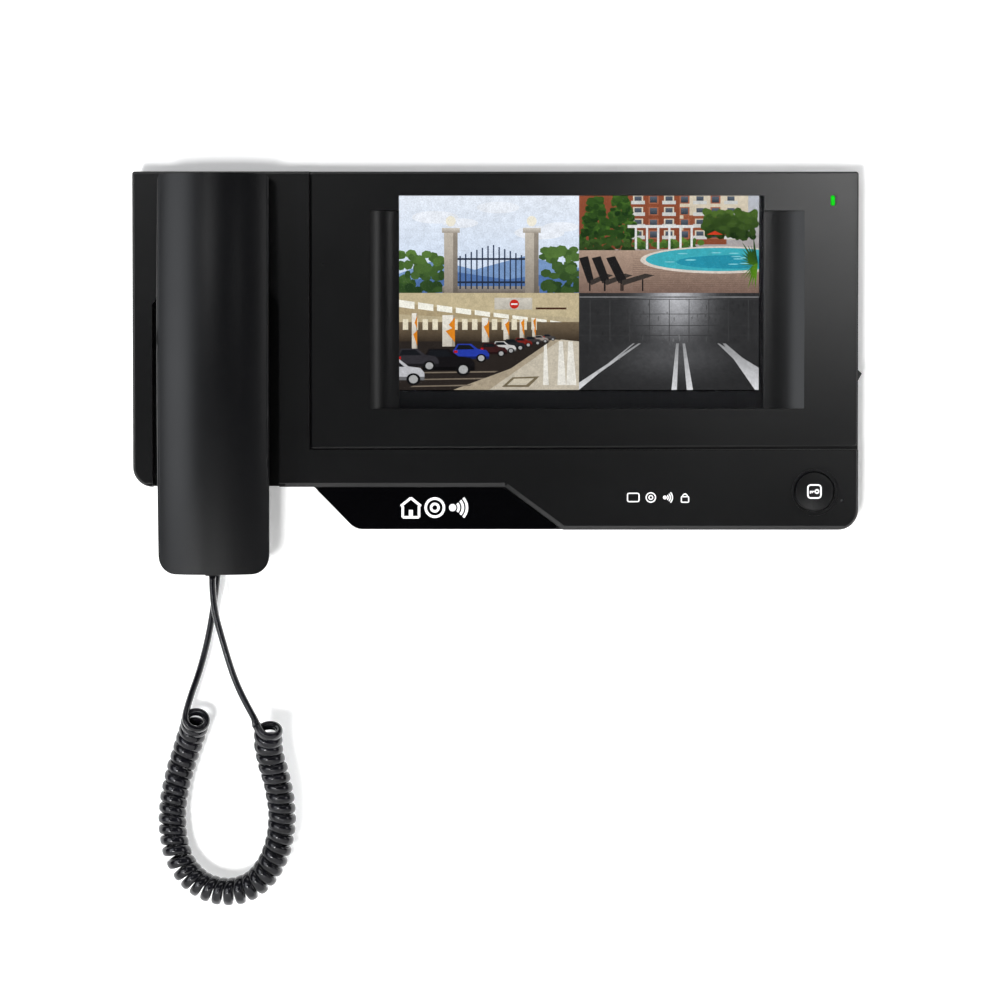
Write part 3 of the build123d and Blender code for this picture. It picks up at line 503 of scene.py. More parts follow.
def dress_nodes():
    give(moulded("front_plastic", srgb(5, 5, 6), 0.3, smudge=0.02), "front_housing", "cradle_housing")
    give(moulded("rear_plastic", srgb(22, 22, 24), 0.5, grain=1300, depth=0.00003), "rear_housing")
    give(moulded("panel_plastic", srgb(5, 5, 6), 0.29, 2400, 0.000008, smudge=0.02), "screen_panel")
    give(moulded("handset_plastic", srgb(5, 5, 7), 0.31, smudge=0.02), "handset_front_shell")
    give(moulded("handset_back_plastic", srgb(3, 3, 4), 0.45, spec=0.25), "handset_rear_shell")
    give(moulded("button_plastic", srgb(5, 5, 6), 0.3, smudge=0.02), "release_button", "volume_slider_knob")
    give(moulded("grille_plastic", srgb(17, 17, 19), 0.45), "earpiece_grille")
    give(moulded("plunger_plastic", srgb(40, 40, 42), 0.4), "hook_plunger", "hook_switch")
    give(polished("plate_gloss", srgb(2, 2, 3), 0.05, coat=0.2), "gloss_plate")
    give(clear("window_acrylic", (0.96, 0.97, 1.0, 1)), "screen_window")
    give(clear("fuse_glass", (0.95, 0.97, 0.96, 1)), "power_fuse")
    give(polished("cell_glass", srgb(7, 8, 14), 0.1), "lcd_cell")
    give(moulded("frame_black", srgb(9, 9, 12), 0.5), "lcd_frame")
    give(moulded("backlight_white", srgb(214, 214, 210), 0.5), "lcd_backlight")
    give(metal("sheet_steel", srgb(176, 178, 180), 0.34, (40, 1, 1)), "wall_bracket", "lcd_bracket")
    screws = ["bracket_lock_screw", "housing_screws", "lcd_screws", "pcb_screws", "terminal_screws"]
    give(metal("screw_steel", srgb(168, 168, 166), 0.3, (1, 1, 1), 900), "handset_screws", *screws)
    give(metal("ballast_steel", srgb(120, 120, 122), 0.5, (1, 1, 1), 300), "handset_weight")
    give(metal("capsule_aluminium", srgb(190, 192, 194), 0.28, (1, 1, 1), 500),
         "base_microphone", "handset_microphone", "main_capacitors")
    give(metal("speaker_steel", srgb(150, 151, 153), 0.36, (1, 1, 1), 400),
         "ring_speaker", "earpiece_speaker")
    give(metal("lead_solder", srgb(170, 168, 160), 0.4, (1, 1, 1), 300), "volume_slide_pot")
    give(circuit_board("solder_mask"), "main_pcb", "power_pcb", "led_board", "button_board")
    give(moulded("chip_epoxy", srgb(26, 26, 27), 0.55, depth=0.00002), "main_chips", "door_relay")
    give(moulded("connector_nylon", srgb(224, 219, 204), 0.42), "main_connectors")
    give(moulded("terminal_green", srgb(40, 120, 70), 0.4), "terminal_block")
    give(moulded("transformer_tape", srgb(176, 146, 60), 0.4, depth=0.00004), "power_transformer")
    give(polished("can_sleeve", srgb(24, 30, 62), 0.2), "power_capacitors")
    give(moulded("switch_body", srgb(30, 30, 31), 0.4), "release_switch", "release_switch_plunger")
    give(moulded("ribbon_copper", srgb(168, 104, 40), 0.36, grain=700), "lcd_ribbon")
    give(moulded("wire_pvc", srgb(120, 40, 36), 0.4, grain=400), "board_harness")
    give(fabric_cone("pulp_cone"), "ring_speaker_cone")
    give(rubber("boot_rubber", srgb(24, 24, 24)), "microphone_boot", "handset_microphone_boot")
    give(rubber("gasket_foam", srgb(38, 38, 40), 0.9), "earpiece_gasket")
    give(rubber("gland_rubber", srgb(20, 20, 21), 0.55), "base_cord_gland", "handset_strain_relief")
    give(glowing("led_lens", srgb(2, 165, 12), 0.6), "led_light_pipe", "indicator_led")


# Picture on the screen

def tile(x0, y0, x1, y1, low, high=None):
    """A rectangle of the picture, shaded from its lower edge to its upper one."""
    high = high or low
    return [(x0, y0), (x1, y0), (x1, y1), (x0, y1)], [low, low, high, high]


def patch(points, colour):
    """A polygon of the picture in one colour."""
    return points, [colour] * len(points)


def blob(x, y, wide, tall, colour, corners=12):
    """An ellipse of the picture in one colour."""
    points = []
    for i in range(corners):
        turn = tau * i / corners
        points.append((x + wide * cos(turn), y + tall * sin(turn)))
    return patch(points, colour)


def foliage(dice, x0, x1, y0, y1, count, size, dark, light):
    """Many small leaf clumps, lighter towards the top."""
    shapes = []
    for _ in range(count):
        x, y = dice.uniform(x0, x1), dice.uniform(y0, y1)
        share = (y - y0) / (y1 - y0) * 0.6 + dice.uniform(0, 0.4)
        colour = tuple(a + (b - a) * share for a, b in zip(dark, light))
        wide, tall = size * dice.uniform(0.6, 1.2), size * dice.uniform(1.0, 2.0)
        shapes.append(blob(x, y, wide, tall, colour, 7))
    return shapes


def gate_view(dice):
    """An entrance gate between stone posts, under a pale sky."""
    shapes = [tile(0, 0, 1, 1, (214, 230, 250), (241, 247, 254))]
    clouds = [(0.2, 0.78, 0.13), (0.34, 0.72, 0.1), (0.78, 0.62, 0.14), (0.9, 0.68, 0.1), (0.55, 0.88, 0.12)]
    for x, y, size in clouds:
        shapes.append(blob(x, y, size, size * 0.5, (246, 250, 255), 20))
    far_hills = [(0, 0.2), (0.2, 0.34), (0.42, 0.24), (0.7, 0.38), (1, 0.26), (1, 0), (0, 0)]
    shapes.append(patch(far_hills, (128, 160, 204)))
    near_hills = [(0, 0.1), (0.3, 0.22), (0.6, 0.14), (1, 0.24), (1, 0), (0, 0)]
    shapes.append(patch(near_hills, (84, 118, 172)))
    shapes += foliage(dice, 0.0, 0.24, 0.0, 0.4, 60, 0.03, (34, 58, 30), (96, 130, 62))
    shapes += foliage(dice, 0.8, 1.0, 0.0, 0.46, 60, 0.03, (34, 58, 30), (96, 130, 62))
    shapes.append(tile(0.24, 0, 0.78, 0.07, (112, 104, 96), (158, 150, 140)))
    for x in (0.25, 0.7):
        shapes.append(tile(x, 0, x + 0.075, 0.62, (150, 140, 126), (206, 196, 180)))
        shapes.append(tile(x + 0.05, 0, x + 0.075, 0.62, (112, 104, 94), (160, 150, 136)))
        shapes.append(tile(x - 0.012, 0.62, x + 0.087, 0.67, (170, 160, 146), (222, 214, 200)))
        shapes.append(blob(x + 0.037, 0.74, 0.028, 0.055, (252, 246, 226)))
    for i in range(12):
        x = 0.335 + i * 0.031
        top = 0.5 - 0.12 * abs(x - 0.512) / 0.18
        shapes.append(tile(x, 0.04, x + 0.008, top, (40, 50, 70), (58, 72, 98)))
    for y in (0.1, 0.34):
        shapes.append(tile(0.325, y, 0.7, y + 0.02, (40, 50, 70)))
    return shapes


def courtyard_view(dice):
    """Brick and cream flats behind a garden with a pool."""
    brick, cream, glass = (150, 82, 56), (226, 214, 190), (52, 58, 66)
    shapes = [tile(0, 0, 1, 1, (150, 124, 104), (196, 200, 206))]
    shapes.append(tile(0.0, 0.45, 0.58, 1, (132, 70, 48), brick))
    shapes.append(tile(0.56, 0.55, 0.94, 1, (206, 190, 162), cream))
    shapes.append(tile(0.58, 0.5, 0.82, 0.8, (140, 76, 52), (160, 92, 64)))
    for column in range(7):
        for row in range(4):
            x, y = 0.3 + column * 0.086, 0.56 + row * 0.12
            pale = cream if column % 2 == 0 else (176, 110, 82)
            shapes.append(tile(x, y, x + 0.056, y + 0.085, pale))
            shapes.append(tile(x + 0.008, y + 0.01, x + 0.048, y + 0.075, glass, (96, 106, 118)))
            if column % 2 == 0:
                shapes.append(tile(x - 0.01, y - 0.006, x + 0.066, y + 0.03, (214, 214, 208)))
    shapes += foliage(dice, 0.7, 0.98, 0.58, 0.84, 130, 0.026, (28, 48, 20), (86, 116, 48))
    for x, top in [(0.09, 0.92), (0.23, 0.97)]:
        for i in range(12):
            y = 0.5 + (top - 0.5) * i / 12
            reach = 0.1 * (1 - 0.75 * i / 12)
            shapes += foliage(dice, x - reach, x + reach, y, y + 0.09, 12, 0.02, (26, 50, 22), (82, 120, 46))
    shapes += foliage(dice, 0.0, 0.3, 0.42, 0.54, 70, 0.02, (26, 44, 20), (70, 98, 44))
    shapes += foliage(dice, 0.3, 0.68, 0.46, 0.56, 60, 0.018, (40, 70, 30), (110, 146, 60))
    shapes.append(tile(0.0, 0.0, 1.0, 0.44, (128, 104, 92), (182, 156, 136)))
    shapes.append(tile(0.27, 0.67, 0.64, 0.7, (232, 232, 228)))
    for i in range(6):
        x = 0.31 + i * 0.062
        shapes.append(tile(x, 0.45, x + 0.012, 0.68, (236, 236, 232)))
    for i in range(16):
        y = 0.02 + 0.022 * i
        shapes.append(tile(0.3, y, 1.0, y + 0.003, (118, 94, 82)))
    shapes.append(blob(0.78, 0.34, 0.44, 0.14, (226, 214, 200), 40))
    shapes.append(blob(0.78, 0.345, 0.41, 0.12, (66, 178, 190), 40))
    shapes.append(blob(0.84, 0.32, 0.3, 0.07, (42, 150, 172), 30))
    for i in range(12):
        x, y = dice.uniform(0.48, 0.95), dice.uniform(0.28, 0.42)
        shapes.append(blob(x, y, 0.03, 0.006, (136, 214, 220), 8))
    shapes.append(patch([(0.71, 0.6), (0.8, 0.6), (0.755, 0.64)], (216, 66, 38)))
    for x, size in [(0.0, 0.7), (0.07, 0.85), (0.15, 1.0)]:
        back = [(x, 0.36), (x + 0.05, 0.38), (x + 0.12 * size, 0.12), (x + 0.07 * size, 0.1)]
        shapes.append(patch(back, (34, 32, 32)))
        seat = [
            (x + 0.07 * size, 0.12), (x + 0.22 * size, 0.2), (x + 0.27 * size, 0.18), (x + 0.1 * size, 0.08),
        ]
        shapes.append(patch(seat, (62, 56, 52)))
        for leg in (0.08, 0.2):
            shapes.append(tile(x + leg * size, 0.02, x + leg * size + 0.008, 0.14, (30, 28, 28)))
    for i in range(17):
        turn = radians(95 + i * 11)
        reach = dice.uniform(0.1, 0.17)
        tip = (0.98 + reach * cos(turn) * 0.8, 0.3 + reach * sin(turn) * 1.9)
        green = (40 + i * 3, 74 + i * 4, 28)
        shapes.append(patch([(0.97, 0.29), (0.995, 0.31), tip], green))
    return shapes


def car(x, y, size, body):
    """A parked car seen from behind its corner; size is its length in the picture."""
    up = size * 0.9
    glass = (24, 26, 30)
    sill = tuple(value * 0.55 for value in body)
    return [
        patch([(x, y), (x + size, y), (x + size, y + 0.3 * up), (x + 0.92 * size, y + 0.5 * up),
               (x + 0.7 * size, y + 0.56 * up), (x, y + 0.52 * up)], body),
        patch([(x + 0.02 * size, y + 0.5 * up), (x + 0.7 * size, y + 0.54 * up),
               (x + 0.5 * size, y + 0.86 * up), (x + 0.12 * size, y + 0.86 * up)], body),
        patch([(x + 0.08 * size, y + 0.53 * up), (x + 0.6 * size, y + 0.55 * up),
               (x + 0.46 * size, y + 0.8 * up), (x + 0.15 * size, y + 0.8 * up)], glass),
        tile(x, y, x + size, y + 0.14 * up, sill),
        blob(x + 0.78 * size, y + 0.04 * up, 0.14 * size, 0.25 * up, (16, 16, 17), 16),
        blob(x + 0.78 * size, y + 0.04 * up, 0.09 * size, 0.17 * up, (176, 176, 174), 12),
        tile(x + 0.02 * size, y + 0.34 * up, x + 0.12 * size, y + 0.48 * up, (190, 30, 24)),
    ]


def pillar(x, wide):
    """A pale car park pillar with a dark side and orange corner guards; the far ones are shorter."""
    low, high, right = 0.4 + 0.2 * x, 0.8 - 0.12 * x, x + wide
    side = [(x + 0.75 * wide, low), (right, low), (right, high), (x + 0.85 * wide, high)]
    low_guard = [(x + 0.25 * wide, low + 0.16), (right, low + 0.04), (right, low + 0.2)]
    high_guard = [(x + 0.5 * wide, high - 0.1), (right, high - 0.16), (right, high - 0.02)]
    return [
        tile(x, low, right, high, (206, 198, 182), (246, 240, 226)),
        patch(side, (168, 158, 140)),
        patch(low_guard, (226, 136, 34)),
        patch(high_guard, (226, 136, 34)),
    ]


def garage_view():
    """A lit car park with a row of cars that runs away to the right."""
    shapes = [tile(0, 0, 1, 1, (150, 138, 118), (206, 190, 152))]
    shapes.append(patch([(0, 1), (1, 1), (1, 0.74), (0, 0.86)], (204, 188, 150)))
    shapes.append(patch([(0, 0.9), (0.94, 0.7), (0.94, 0.68), (0, 0.78)], (178, 160, 124)))
    for i in range(9):
        x = i * 0.105
        y = 0.93 - 0.24 * (x / 0.95)
        tall = 0.075 - 0.06 * (x / 0.95)
        lamp = [(x, y), (x + 0.085, y - 0.022), (x + 0.085, y - 0.022 - tall), (x, y - tall)]
        shapes.append(patch(lamp, (255, 252, 236)))
    shapes.append(tile(0, 0.5, 1, 0.7, (58, 48, 38), (116, 100, 78)))
    for i in range(14):
        shapes.append(tile(0.02 + i * 0.055, 0.62, 0.05 + i * 0.055, 0.73, (236, 226, 198)))
    shapes.append(patch([(0, 0), (1, 0), (1, 0.5), (0.86, 0.52), (0.3, 0.2), (0, 0.1)], (176, 162, 138)))
    shapes.append(patch([(0.5, 0), (1, 0), (1, 0.5), (0.9, 0.52)], (204, 194, 174)))
    for x, wide in [(0.88, 0.03), (0.93, 0.035), (0.8, 0.02)]:
        stripe = [(x, 0.05), (x + wide * 1.6, 0.05), (x + wide, 0.5), (x + 0.3 * wide, 0.5)]
        shapes.append(patch(stripe, (240, 236, 224)))
    shapes.append(patch([(0, 0), (0.3, 0), (0.62, 0.22), (0.84, 0.5), (0, 0.5)], (44, 38, 34)))
    for y in (0.03, 0.1, 0.17):
        joint = [(0.06, y), (0.36 + y, y + 0.01), (0.38 + y, y + 0.025), (0.08, y + 0.012)]
        shapes.append(patch(joint, (128, 116, 100)))
    for x, wide in [(0.07, 0.03), (0.24, 0.07), (0.46, 0.04), (0.58, 0.032), (0.67, 0.026), (0.74, 0.02)]:
        shapes += pillar(x, wide)
    row = [
        (0.8, 0.52, 0.07, (70, 66, 64)), (0.75, 0.5, 0.08, (150, 140, 132)),
        (0.7, 0.48, 0.09, (60, 56, 56)), (0.64, 0.46, 0.1, (120, 36, 30)),
        (0.58, 0.43, 0.12, (38, 38, 40)), (0.52, 0.4, 0.13, (206, 204, 200)),
        (0.45, 0.37, 0.15, (60, 30, 30)), (0.3, 0.32, 0.2, (40, 62, 168)),
        (0.13, 0.2, 0.29, (22, 20, 22)), (-0.02, 0.24, 0.24, (52, 50, 54)),
        (-0.14, 0.1, 0.28, (196, 196, 198)),
    ]
    for x, y, size, colour in row:
        shapes += car(x, y, size, colour)
    shapes.append(tile(0.53, 0.83, 0.74, 0.95, (196, 190, 176), (214, 208, 194)))
    shapes.append(blob(0.64, 0.885, 0.026, 0.048, (206, 44, 32), 18))
    shapes.append(tile(0.622, 0.877, 0.658, 0.893, (244, 240, 236)))
    shapes.append(tile(0.76, 0.83, 0.93, 0.85, (74, 48, 34)))
    shapes.append(patch([(0.57, 0.03), (0.72, 0.03), (0.78, 0.14), (0.63, 0.13)], (120, 108, 84)))
    shapes.append(patch([(0.6, 0.05), (0.705, 0.05), (0.75, 0.12), (0.64, 0.115)], (208, 198, 176)))
    return shapes


def parking_view(dice):
    """A bare concrete bay under one lamp, with painted lines."""
    shapes = []
    across_steps, up_steps = 26, 14

    def grey(x, y):
        lamp = exp(-((x - 0.54) / 0.17) ** 2 - ((y - 0.98) / 0.42) ** 2)
        floor = exp(-((x - 0.52) / 0.3) ** 2 - ((y - 0.35) / 0.22) ** 2)
        level = 50 + 150 * lamp if y > 0.46 else 44 + 42 * floor
        return (level, level, level * 1.01)

    for i in range(across_steps):
        for j in range(up_steps):
            x0, x1 = i / across_steps, (i + 1) / across_steps
            y0, y1 = j / up_steps, (j + 1) / up_steps
            corners = [(x0, y0), (x1, y0), (x1, y1), (x0, y1)]
            shapes.append((corners, [grey(x, y * 0.998 + 0.001) for x, y in corners]))
    for y in (0.56, 0.66, 0.78, 0.93):
        shapes.append(tile(0, y, 1, y + 0.006, (58, 58, 58)))
    for i in range(9):
        shapes.append(tile(0.06 + i * 0.11, 0.5, 0.064 + i * 0.11, 0.93, (66, 66, 66)))
    for _ in range(50):
        x, y = dice.uniform(0.05, 0.95), dice.uniform(0.5, 0.9)
        level = 40 + 80 * exp(-((x - 0.54) / 0.2) ** 2)
        shapes.append(blob(x, y, 0.004, 0.02 * dice.uniform(0.4, 1.6), (level, level, level), 6))
    shapes.append(tile(0, 0.95, 1, 0.965, (120, 120, 120)))
    lines = [
        (0.515, 0.545, 0.54, 0.555), (0.6, 0.635, 0.576, 0.59), (-0.06, -0.02, 0.33, 0.345),
        (-0.02, 0.0, 0.3, 0.31), (0.98, 1.12, 0.8, 0.815), (1.04, 1.2, 0.77, 0.78),
    ]
    for near_left, near_right, far_left, far_right in lines:
        corners = [(near_left, 0.0), (near_right, 0.0), (far_right, 0.48), (far_left, 0.48)]
        shapes.append((corners, [(226, 226, 226), (226, 226, 226), (150, 150, 150), (150, 150, 150)]))
    return shapes


def clipped(points, colours, limit, axis, keep_below):
    """A polygon cut at one edge of its view, its corner colours with it."""
    kept = []
    count = len(points)
    for i in range(count):
        here, there = points[i], points[(i + 1) % count]
        colour, other = colours[i], colours[(i + 1) % count]
        inside = here[axis] <= limit if keep_below else here[axis] >= limit
        inside_next = there[axis] <= limit if keep_below else there[axis] >= limit
        if inside:
            kept.append((here, colour))
        if inside != inside_next:
            t = (limit - here[axis]) / (there[axis] - here[axis])
            cut = tuple(a + (b - a) * t for a, b in zip(here, there))
            kept.append((cut, tuple(a + (b - a) * t for a, b in zip(colour, other))))
    return [point for point, _ in kept], [colour for _, colour in kept]


def in_view(points, colours):
    """A polygon cut at all four edges of its view."""
    for limit, axis, keep_below in ((0, 0, False), (1, 0, True), (0, 1, False), (1, 1, True)):
        if points:
            points, colours = clipped(points, colours, limit, axis, keep_below)
    return points, colours


def make_picture():
    """Four camera views, as flat painted shapes that glow, laid over each other."""
    dice = random.Random(PICTURE_SEED)
    middle_x = (PICTURE_LEFT + PICTURE_RIGHT) / 2
    middle_z = (PICTURE_LOW + PICTURE_HIGH) / 2
    views = [
        (gate_view(dice), PICTURE_LEFT, middle_z),
        (courtyard_view(dice), middle_x, middle_z),
        (garage_view(), PICTURE_LEFT, PICTURE_LOW),
        (parking_view(dice), middle_x, PICTURE_LOW),
    ]
    wide, tall = middle_x - PICTURE_LEFT, PICTURE_HIGH - middle_z
    vertices, faces, paint = [], [], []
    for shapes, left, low in views:
        for shape in shapes:
            points, colours = in_view(*shape)
            if len(points) < 3:
                continue
            depth = PICTURE_Y - (len(faces) + 1) * PICTURE_LAYER
            first = len(vertices)
            for x, y in points:
                vertices.append((left + x * wide, depth, low + y * tall))
            faces.append(tuple(range(first, len(vertices))))
            paint += [srgb(*colour) for colour in colours]
    mesh = bpy.data.meshes.new("screen_picture")
    mesh.from_pydata(vertices, [], faces)
    painted = mesh.color_attributes.new("paint", "FLOAT_COLOR", "CORNER")
    for loop in mesh.loops:
        painted.data[loop.index].color = paint[loop.vertex_index]
    piece = link("screen_picture", mesh, picture_glow())
    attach(piece, "base")


def picture_glow():
    """The lit display: the painted colours, with a little sensor noise and no gloss."""
    mat, tree, shader = new_material("picture_glow")
    colour = tree.nodes.new("ShaderNodeVertexColor")
    colour.layer_name = "paint"
    noise = texture(tree, "ShaderNodeTexNoise", 1600, Detail=3, Roughness=0.7)
    patches = texture(tree, "ShaderNodeTexNoise", 420, Detail=2)
    painted = colour.outputs["Color"]
    for level in (spread(tree, output_of(noise), 0.84, 1.16), spread(tree, output_of(patches), 0.92, 1.08)):
        scaled = tree.nodes.new("ShaderNodeVectorMath")
        scaled.operation = "SCALE"
        tree.links.new(painted, scaled.inputs[0])
        tree.links.new(level, scaled.inputs["Scale"])
        painted = scaled.outputs["Vector"]
    tree.links.new(painted, shader.inputs["Emission Color"])
    shader.inputs["Emission Strength"].default_value = 1.0
    shader.inputs["Base Color"].default_value = (0, 0, 0, 1)
    shader.inputs["Roughness"].default_value = 0.9
    shader.inputs["Specular IOR Level"].default_value = 0
    return mat


# Printed signs

def ring_mark(x, z, radius, line, start=0, end=360, corners=28):
    """An arc of a line, as a strip of quads in front-view millimetres."""
    quads = []
    for i in range(corners):
        a = radians(start + (end - start) * i / corners)
        b = radians(start + (end - start) * (i + 1) / corners)
        inner, outer = radius - line / 2, radius + line / 2
        quads.append([
            (x + inner * cos(a), z + inner * sin(a)), (x + outer * cos(a), z + outer * sin(a)),
            (x + outer * cos(b), z + outer * sin(b)), (x + inner * cos(b), z + inner * sin(b)),
        ])
    return quads


def bar_mark(x0, z0, x1, z1, line):
    """A straight line, cut into short quads so that it can follow a curved face."""
    along = Vector((x1 - x0, z1 - z0))
    side = Vector((-along.y, along.x)).normalized() * line / 2
    steps = max(1, round(along.length / 0.8))
    quads = []
    for i in range(steps):
        a = Vector((x0, z0)) + along * i / steps
        b = Vector((x0, z0)) + along * (i + 1) / steps
        quads.append([tuple(a - side), tuple(b - side), tuple(b + side), tuple(a + side)])
    return quads


def box_mark(x, z, wide, tall, corner, line):
    """A rounded rectangle's outline."""
    x0, x1, z0, z1 = x - wide / 2, x + wide / 2, z - tall / 2, z + tall / 2
    quads = []
    for a, b, c, d in [(x0 + corner, z0, x1 - corner, z0), (x0 + corner, z1, x1 - corner, z1),
                       (x0, z0 + corner, x0, z1 - corner), (x1, z0 + corner, x1, z1 - corner)]:
        quads += bar_mark(a, b, c, d, line)
    for cx, cz, start in [(x1 - corner, z1 - corner, 0), (x0 + corner, z1 - corner, 90),
                          (x0 + corner, z0 + corner, 180), (x1 - corner, z0 + corner, 270)]:
        quads += ring_mark(cx, cz, corner, line, start, start + 90, 7)
    return quads


def key_sign():
    """A key in a rounded square."""
    quads = box_mark(0, 0, 5.65, 5.65, 1.3, 0.65)
    quads += ring_mark(1.1, 0, 0.75, 0.62)
    quads += bar_mark(-2.0, 0, 0.5, 0, 0.55)
    quads += bar_mark(-1.75, 0, -1.75, -0.9, 0.5)
    return quads + bar_mark(-0.95, 0, -0.95, -0.7, 0.45)


def house_sign(x, z, size, line):
    """A house with a door."""
    half, roof = size * 0.42, z + size * 0.08
    quads = bar_mark(x - size * 0.52, roof, x, z + size * 0.5, line)
    quads += bar_mark(x, z + size * 0.5, x + size * 0.52, roof, line)
    quads += bar_mark(x - half, roof, x - half, z - size * 0.5, line)
    quads += bar_mark(x + half, roof, x + half, z - size * 0.5, line)
    quads += bar_mark(x - half, z - size * 0.5, x + half, z - size * 0.5, line)
    return quads + bar_mark(x, z - size * 0.5, x, z - size * 0.12, line * 1.6)


def lens_sign(x, z, size, line):
    """Two rings, one in the other."""
    return ring_mark(x, z, size * 0.44, line) + ring_mark(x, z, size * 0.18, line)


def sound_sign(x, z, size, line):
    """A dot with three waves at its right."""
    quads = ring_mark(x - size * 0.36, z, size * 0.1, size * 0.2, 0, 360, 14)
    for radius in (0.34, 0.56, 0.78):
        quads += ring_mark(x - size * 0.36, z, size * radius, line, -42, 42, 12)
    return quads


def lock_sign(x, z, size, line):
    """A closed padlock."""
    quads = box_mark(x, z - size * 0.18, size * 0.66, size * 0.5, size * 0.08, line)
    return quads + ring_mark(x, z + size * 0.1, size * 0.21, line, 0, 180, 14)


def printed(name, quads, centre, depth_at, body, mat):
    """A thin white print whose corners lie just over the face at the given depths."""
    vertices, faces = [], []
    for quad in quads:
        first = len(vertices)
        for x, z in quad:
            vertices.append((centre[0] + x / 1000, -depth_at(x, z) - PRINT_LIFT, centre[1] + z / 1000))
        faces.append(tuple(range(first, first + 4)))
    mesh = bpy.data.meshes.new(name)
    mesh.from_pydata(vertices, [], faces)
    piece = link(name, mesh, mat)
    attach(piece, body)


def glowing_sign_ink():
    """White pad-print, a little uneven in tone, that also glows faintly: painted light that keeps the print
    bright whatever the lamps do.
    """
    mat, tree, shader = new_material("glowing_sign_ink")
    uneven = texture(tree, "ShaderNodeTexNoise", 2200, Detail=3)
    finish(tree, shader, output_of(uneven), srgb(222, 222, 224), srgb(250, 250, 250), 0.4, 0.6)
    # Painted light: the ink glows a little of its own, though it is no lamp
    shader.inputs["Emission Color"].default_value = (1, 1, 1, 1)
    shader.inputs["Emission Strength"].default_value = 0.25
    return mat


def make_signs():
    ink = glowing_sign_ink()
    button_face = -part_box("release_button")[0].y - BUTTON_RIM
    printed(
        "key_sign", key_sign(), (BUTTON_X, BUTTON_Z),
        lambda x, z: button_face + (x * x + z * z) / 1e6 / (2 * BUTTON_DOME_RADIUS), "door_release", ink,
    )
    plate_face = -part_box("gloss_plate")[0].y
    signs = house_sign(-10.4, 0, 8.4, 1.1) + lens_sign(0, 0, 9.0, 1.1) + sound_sign(10.6, 0, 8.0, 1.1)
    printed("plate_signs", signs, PLATE_PRINT, lambda x, z: plate_face, "base", ink)
    strip_face = -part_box("front_housing")[0].y
    signs = box_mark(-11.2, 0, 5.0, 3.6, 0.7, 0.5) + lens_sign(-3.6, 0, 4.6, 0.5)
    signs += sound_sign(4.0, 0, 4.2, 0.5) + lock_sign(11.2, 0, 4.8, 0.5)
    printed("strip_signs", signs, STRIP_PRINT, lambda x, z: strip_face, "base", ink)


# Stage

def wall_paint():
    """White wall paint. It is clear from behind, so that the object's back can be seen."""
    mat, tree, shader = new_material("wall_paint")
    roller = texture(tree, "ShaderNodeTexNoise", 260, Detail=3)
    dark, light = (0.93, 0.93, 0.93, 1), (0.95, 0.95, 0.95, 1)
    tone = blend_colours(tree, spread(tree, output_of(roller), 0, 1), dark, light)
    tree.links.new(tone, shader.inputs["Base Color"])
    shader.inputs["Roughness"].default_value = 0.9
    shader.inputs["Specular IOR Level"].default_value = 0.1
    shader.inputs["Emission Color"].default_value = (1, 1, 1, 1)
    shader.inputs["Emission Strength"].default_value = 0.25
    geometry = tree.nodes.new("ShaderNodeNewGeometry")
    see_through = tree.nodes.new("ShaderNodeBsdfTransparent")
    mix = tree.nodes.new("ShaderNodeMixShader")
    out = tree.nodes["Material Output"]
    tree.links.new(geometry.outputs["Backfacing"], mix.inputs["Fac"])
    tree.links.new(shader.outputs["BSDF"], mix.inputs[1])
    tree.links.new(see_through.outputs["BSDF"], mix.inputs[2])
    tree.links.new(mix.outputs["Shader"], out.inputs["Surface"])
    return mat


def floor_finish():
    """Pale polished screed."""
    mat, tree, shader = new_material("floor_finish")
    cloud = texture(tree, "ShaderNodeTexNoise", 6, Detail=4)
    finish(tree, shader, output_of(cloud), (0.62, 0.62, 0.61, 1), (0.7, 0.7, 0.69, 1), 0.45, 0.6)
    return mat


def flat_quad(name, corners, mat):
    """A flat sheet with these four corners."""
    mesh = bpy.data.meshes.new(name)
    mesh.from_pydata(corners, [], [(0, 1, 2, 3)])
    return link(name, mesh, mat)


def make_stage():
    wall_corners = [
        (-STAGE_SIDE, WALL_Y, FLOOR_Z), (STAGE_SIDE, WALL_Y, FLOOR_Z),
        (STAGE_SIDE, WALL_Y, WALL_TOP), (-STAGE_SIDE, WALL_Y, WALL_TOP),
    ]
    wall = flat_quad("wall", wall_corners, wall_paint())
    wall.visible_shadow = False
    floor_corners = [
        (-STAGE_SIDE, FLOOR_NEAR, FLOOR_Z), (STAGE_SIDE, FLOOR_NEAR, FLOOR_Z),
        (STAGE_SIDE, FLOOR_FAR, FLOOR_Z), (-STAGE_SIDE, FLOOR_FAR, FLOOR_Z),
    ]
    floor = flat_quad("floor", floor_corners, floor_finish())


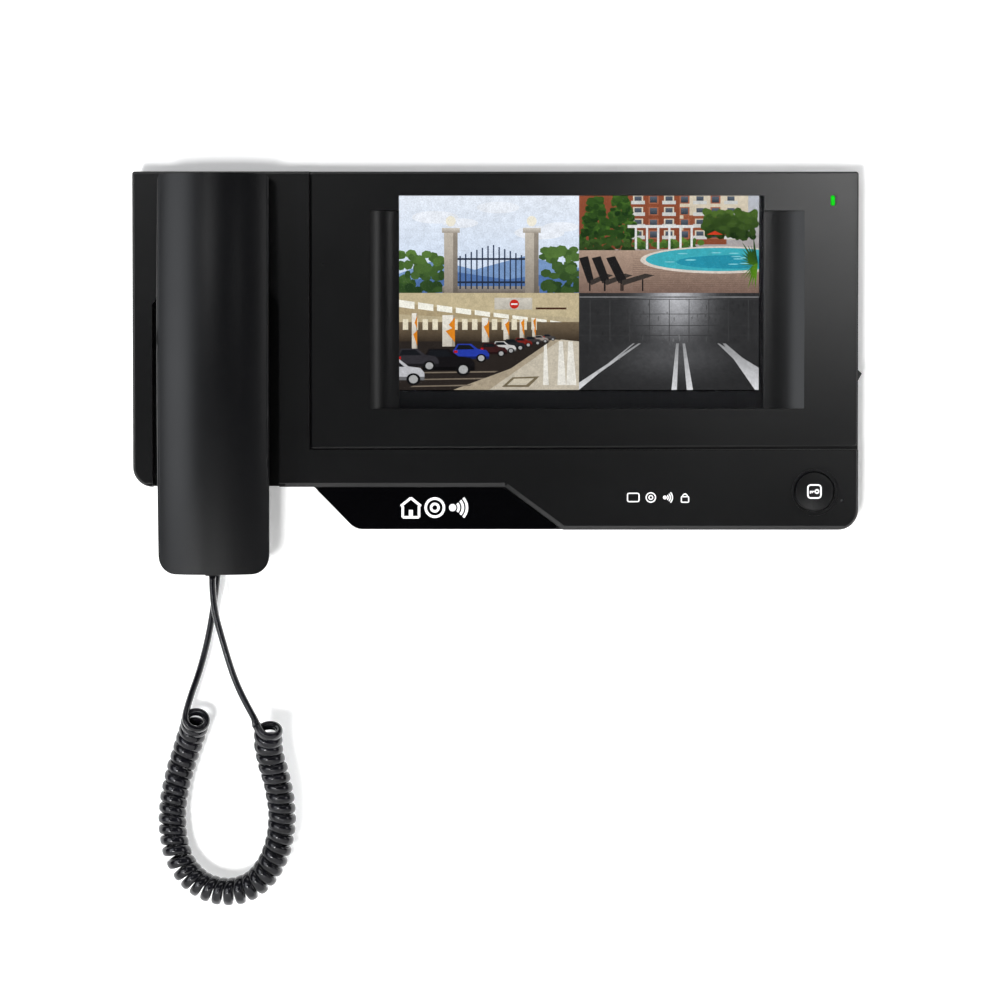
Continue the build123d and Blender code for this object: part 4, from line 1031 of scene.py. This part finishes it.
def area_light(name, place, aim, size, power, colour=(1, 1, 1), beam=180, in_gloss=True):
    """A rectangle of light; beam is its full angle in degrees."""
    data = bpy.data.lights.new(name, "AREA")
    data.shape = "RECTANGLE"
    data.size, data.size_y = size
    data.energy = power
    data.spread = radians(beam)
    data.color = colour
    lamp = bpy.data.objects.new(name, data)
    lamp.location = place
    lamp.rotation_euler = (Vector(aim) - Vector(place)).to_track_quat("-Z", "Y").to_euler()
    lamp.visible_glossy = in_gloss
    lamp.visible_transmission = in_gloss
    bpy.context.scene.collection.objects.link(lamp)


def make_lights():
    middle = (0, 0, 0)
    # Lights the wall and throws the object's shadow up and to the right
    area_light("shadow_key", (-0.27, -2.4, -0.30), (0, 0, -0.06), (0.24, 0.24), 54, in_gloss=False)
    # The pale band down the handset's left side
    area_light("left_strip", (-1.42, -1.62, 0.1), (-0.12, 0, 0), (1.0, 1.4), 10.5, (0.93, 0.96, 1.0))
    # The sheen at the base's upper corners
    area_light("upper_left", (-0.25, -1.0, 0.21), (-0.08, 0, 0.03), (0.12, 0.12), 0.24)
    area_light("upper_right", (0.27, -0.95, 0.15), (0.16, 0, 0.07), (0.15, 0.15), 0.037, beam=32)
    # The glints on the coil's turns
    area_light("coil_glint", (-0.6, -1.2, -0.36), (-0.118, -0.03, -0.208), (0.16, 0.16), 0.013, beam=8)
    # The right edges and the top
    area_light("right_strip", (1.3, -1.0, 0.2), middle, (0.3, 0.9), 2.2)
    area_light("overhead", (0.1, -0.9, 1.7), middle, (1.6, 0.5), 4.5)
    # The back
    area_light("back_left", (-1.4, 1.6, 1.0), middle, (1.0, 1.0), 12)
    area_light("back_right", (1.4, 1.6, 0.6), middle, (1.0, 1.0), 12)


def make_world():
    world = bpy.data.worlds.new("studio")
    world.use_nodes = True
    world.node_tree.nodes["Background"].inputs["Color"].default_value = WORLD_GREY
    bpy.context.scene.world = world
    bpy.context.scene.view_settings.view_transform = "Standard"


make_camera()
make_cord()
dress_nodes()
make_picture()
make_signs()
make_stage()
make_lights()
make_world()
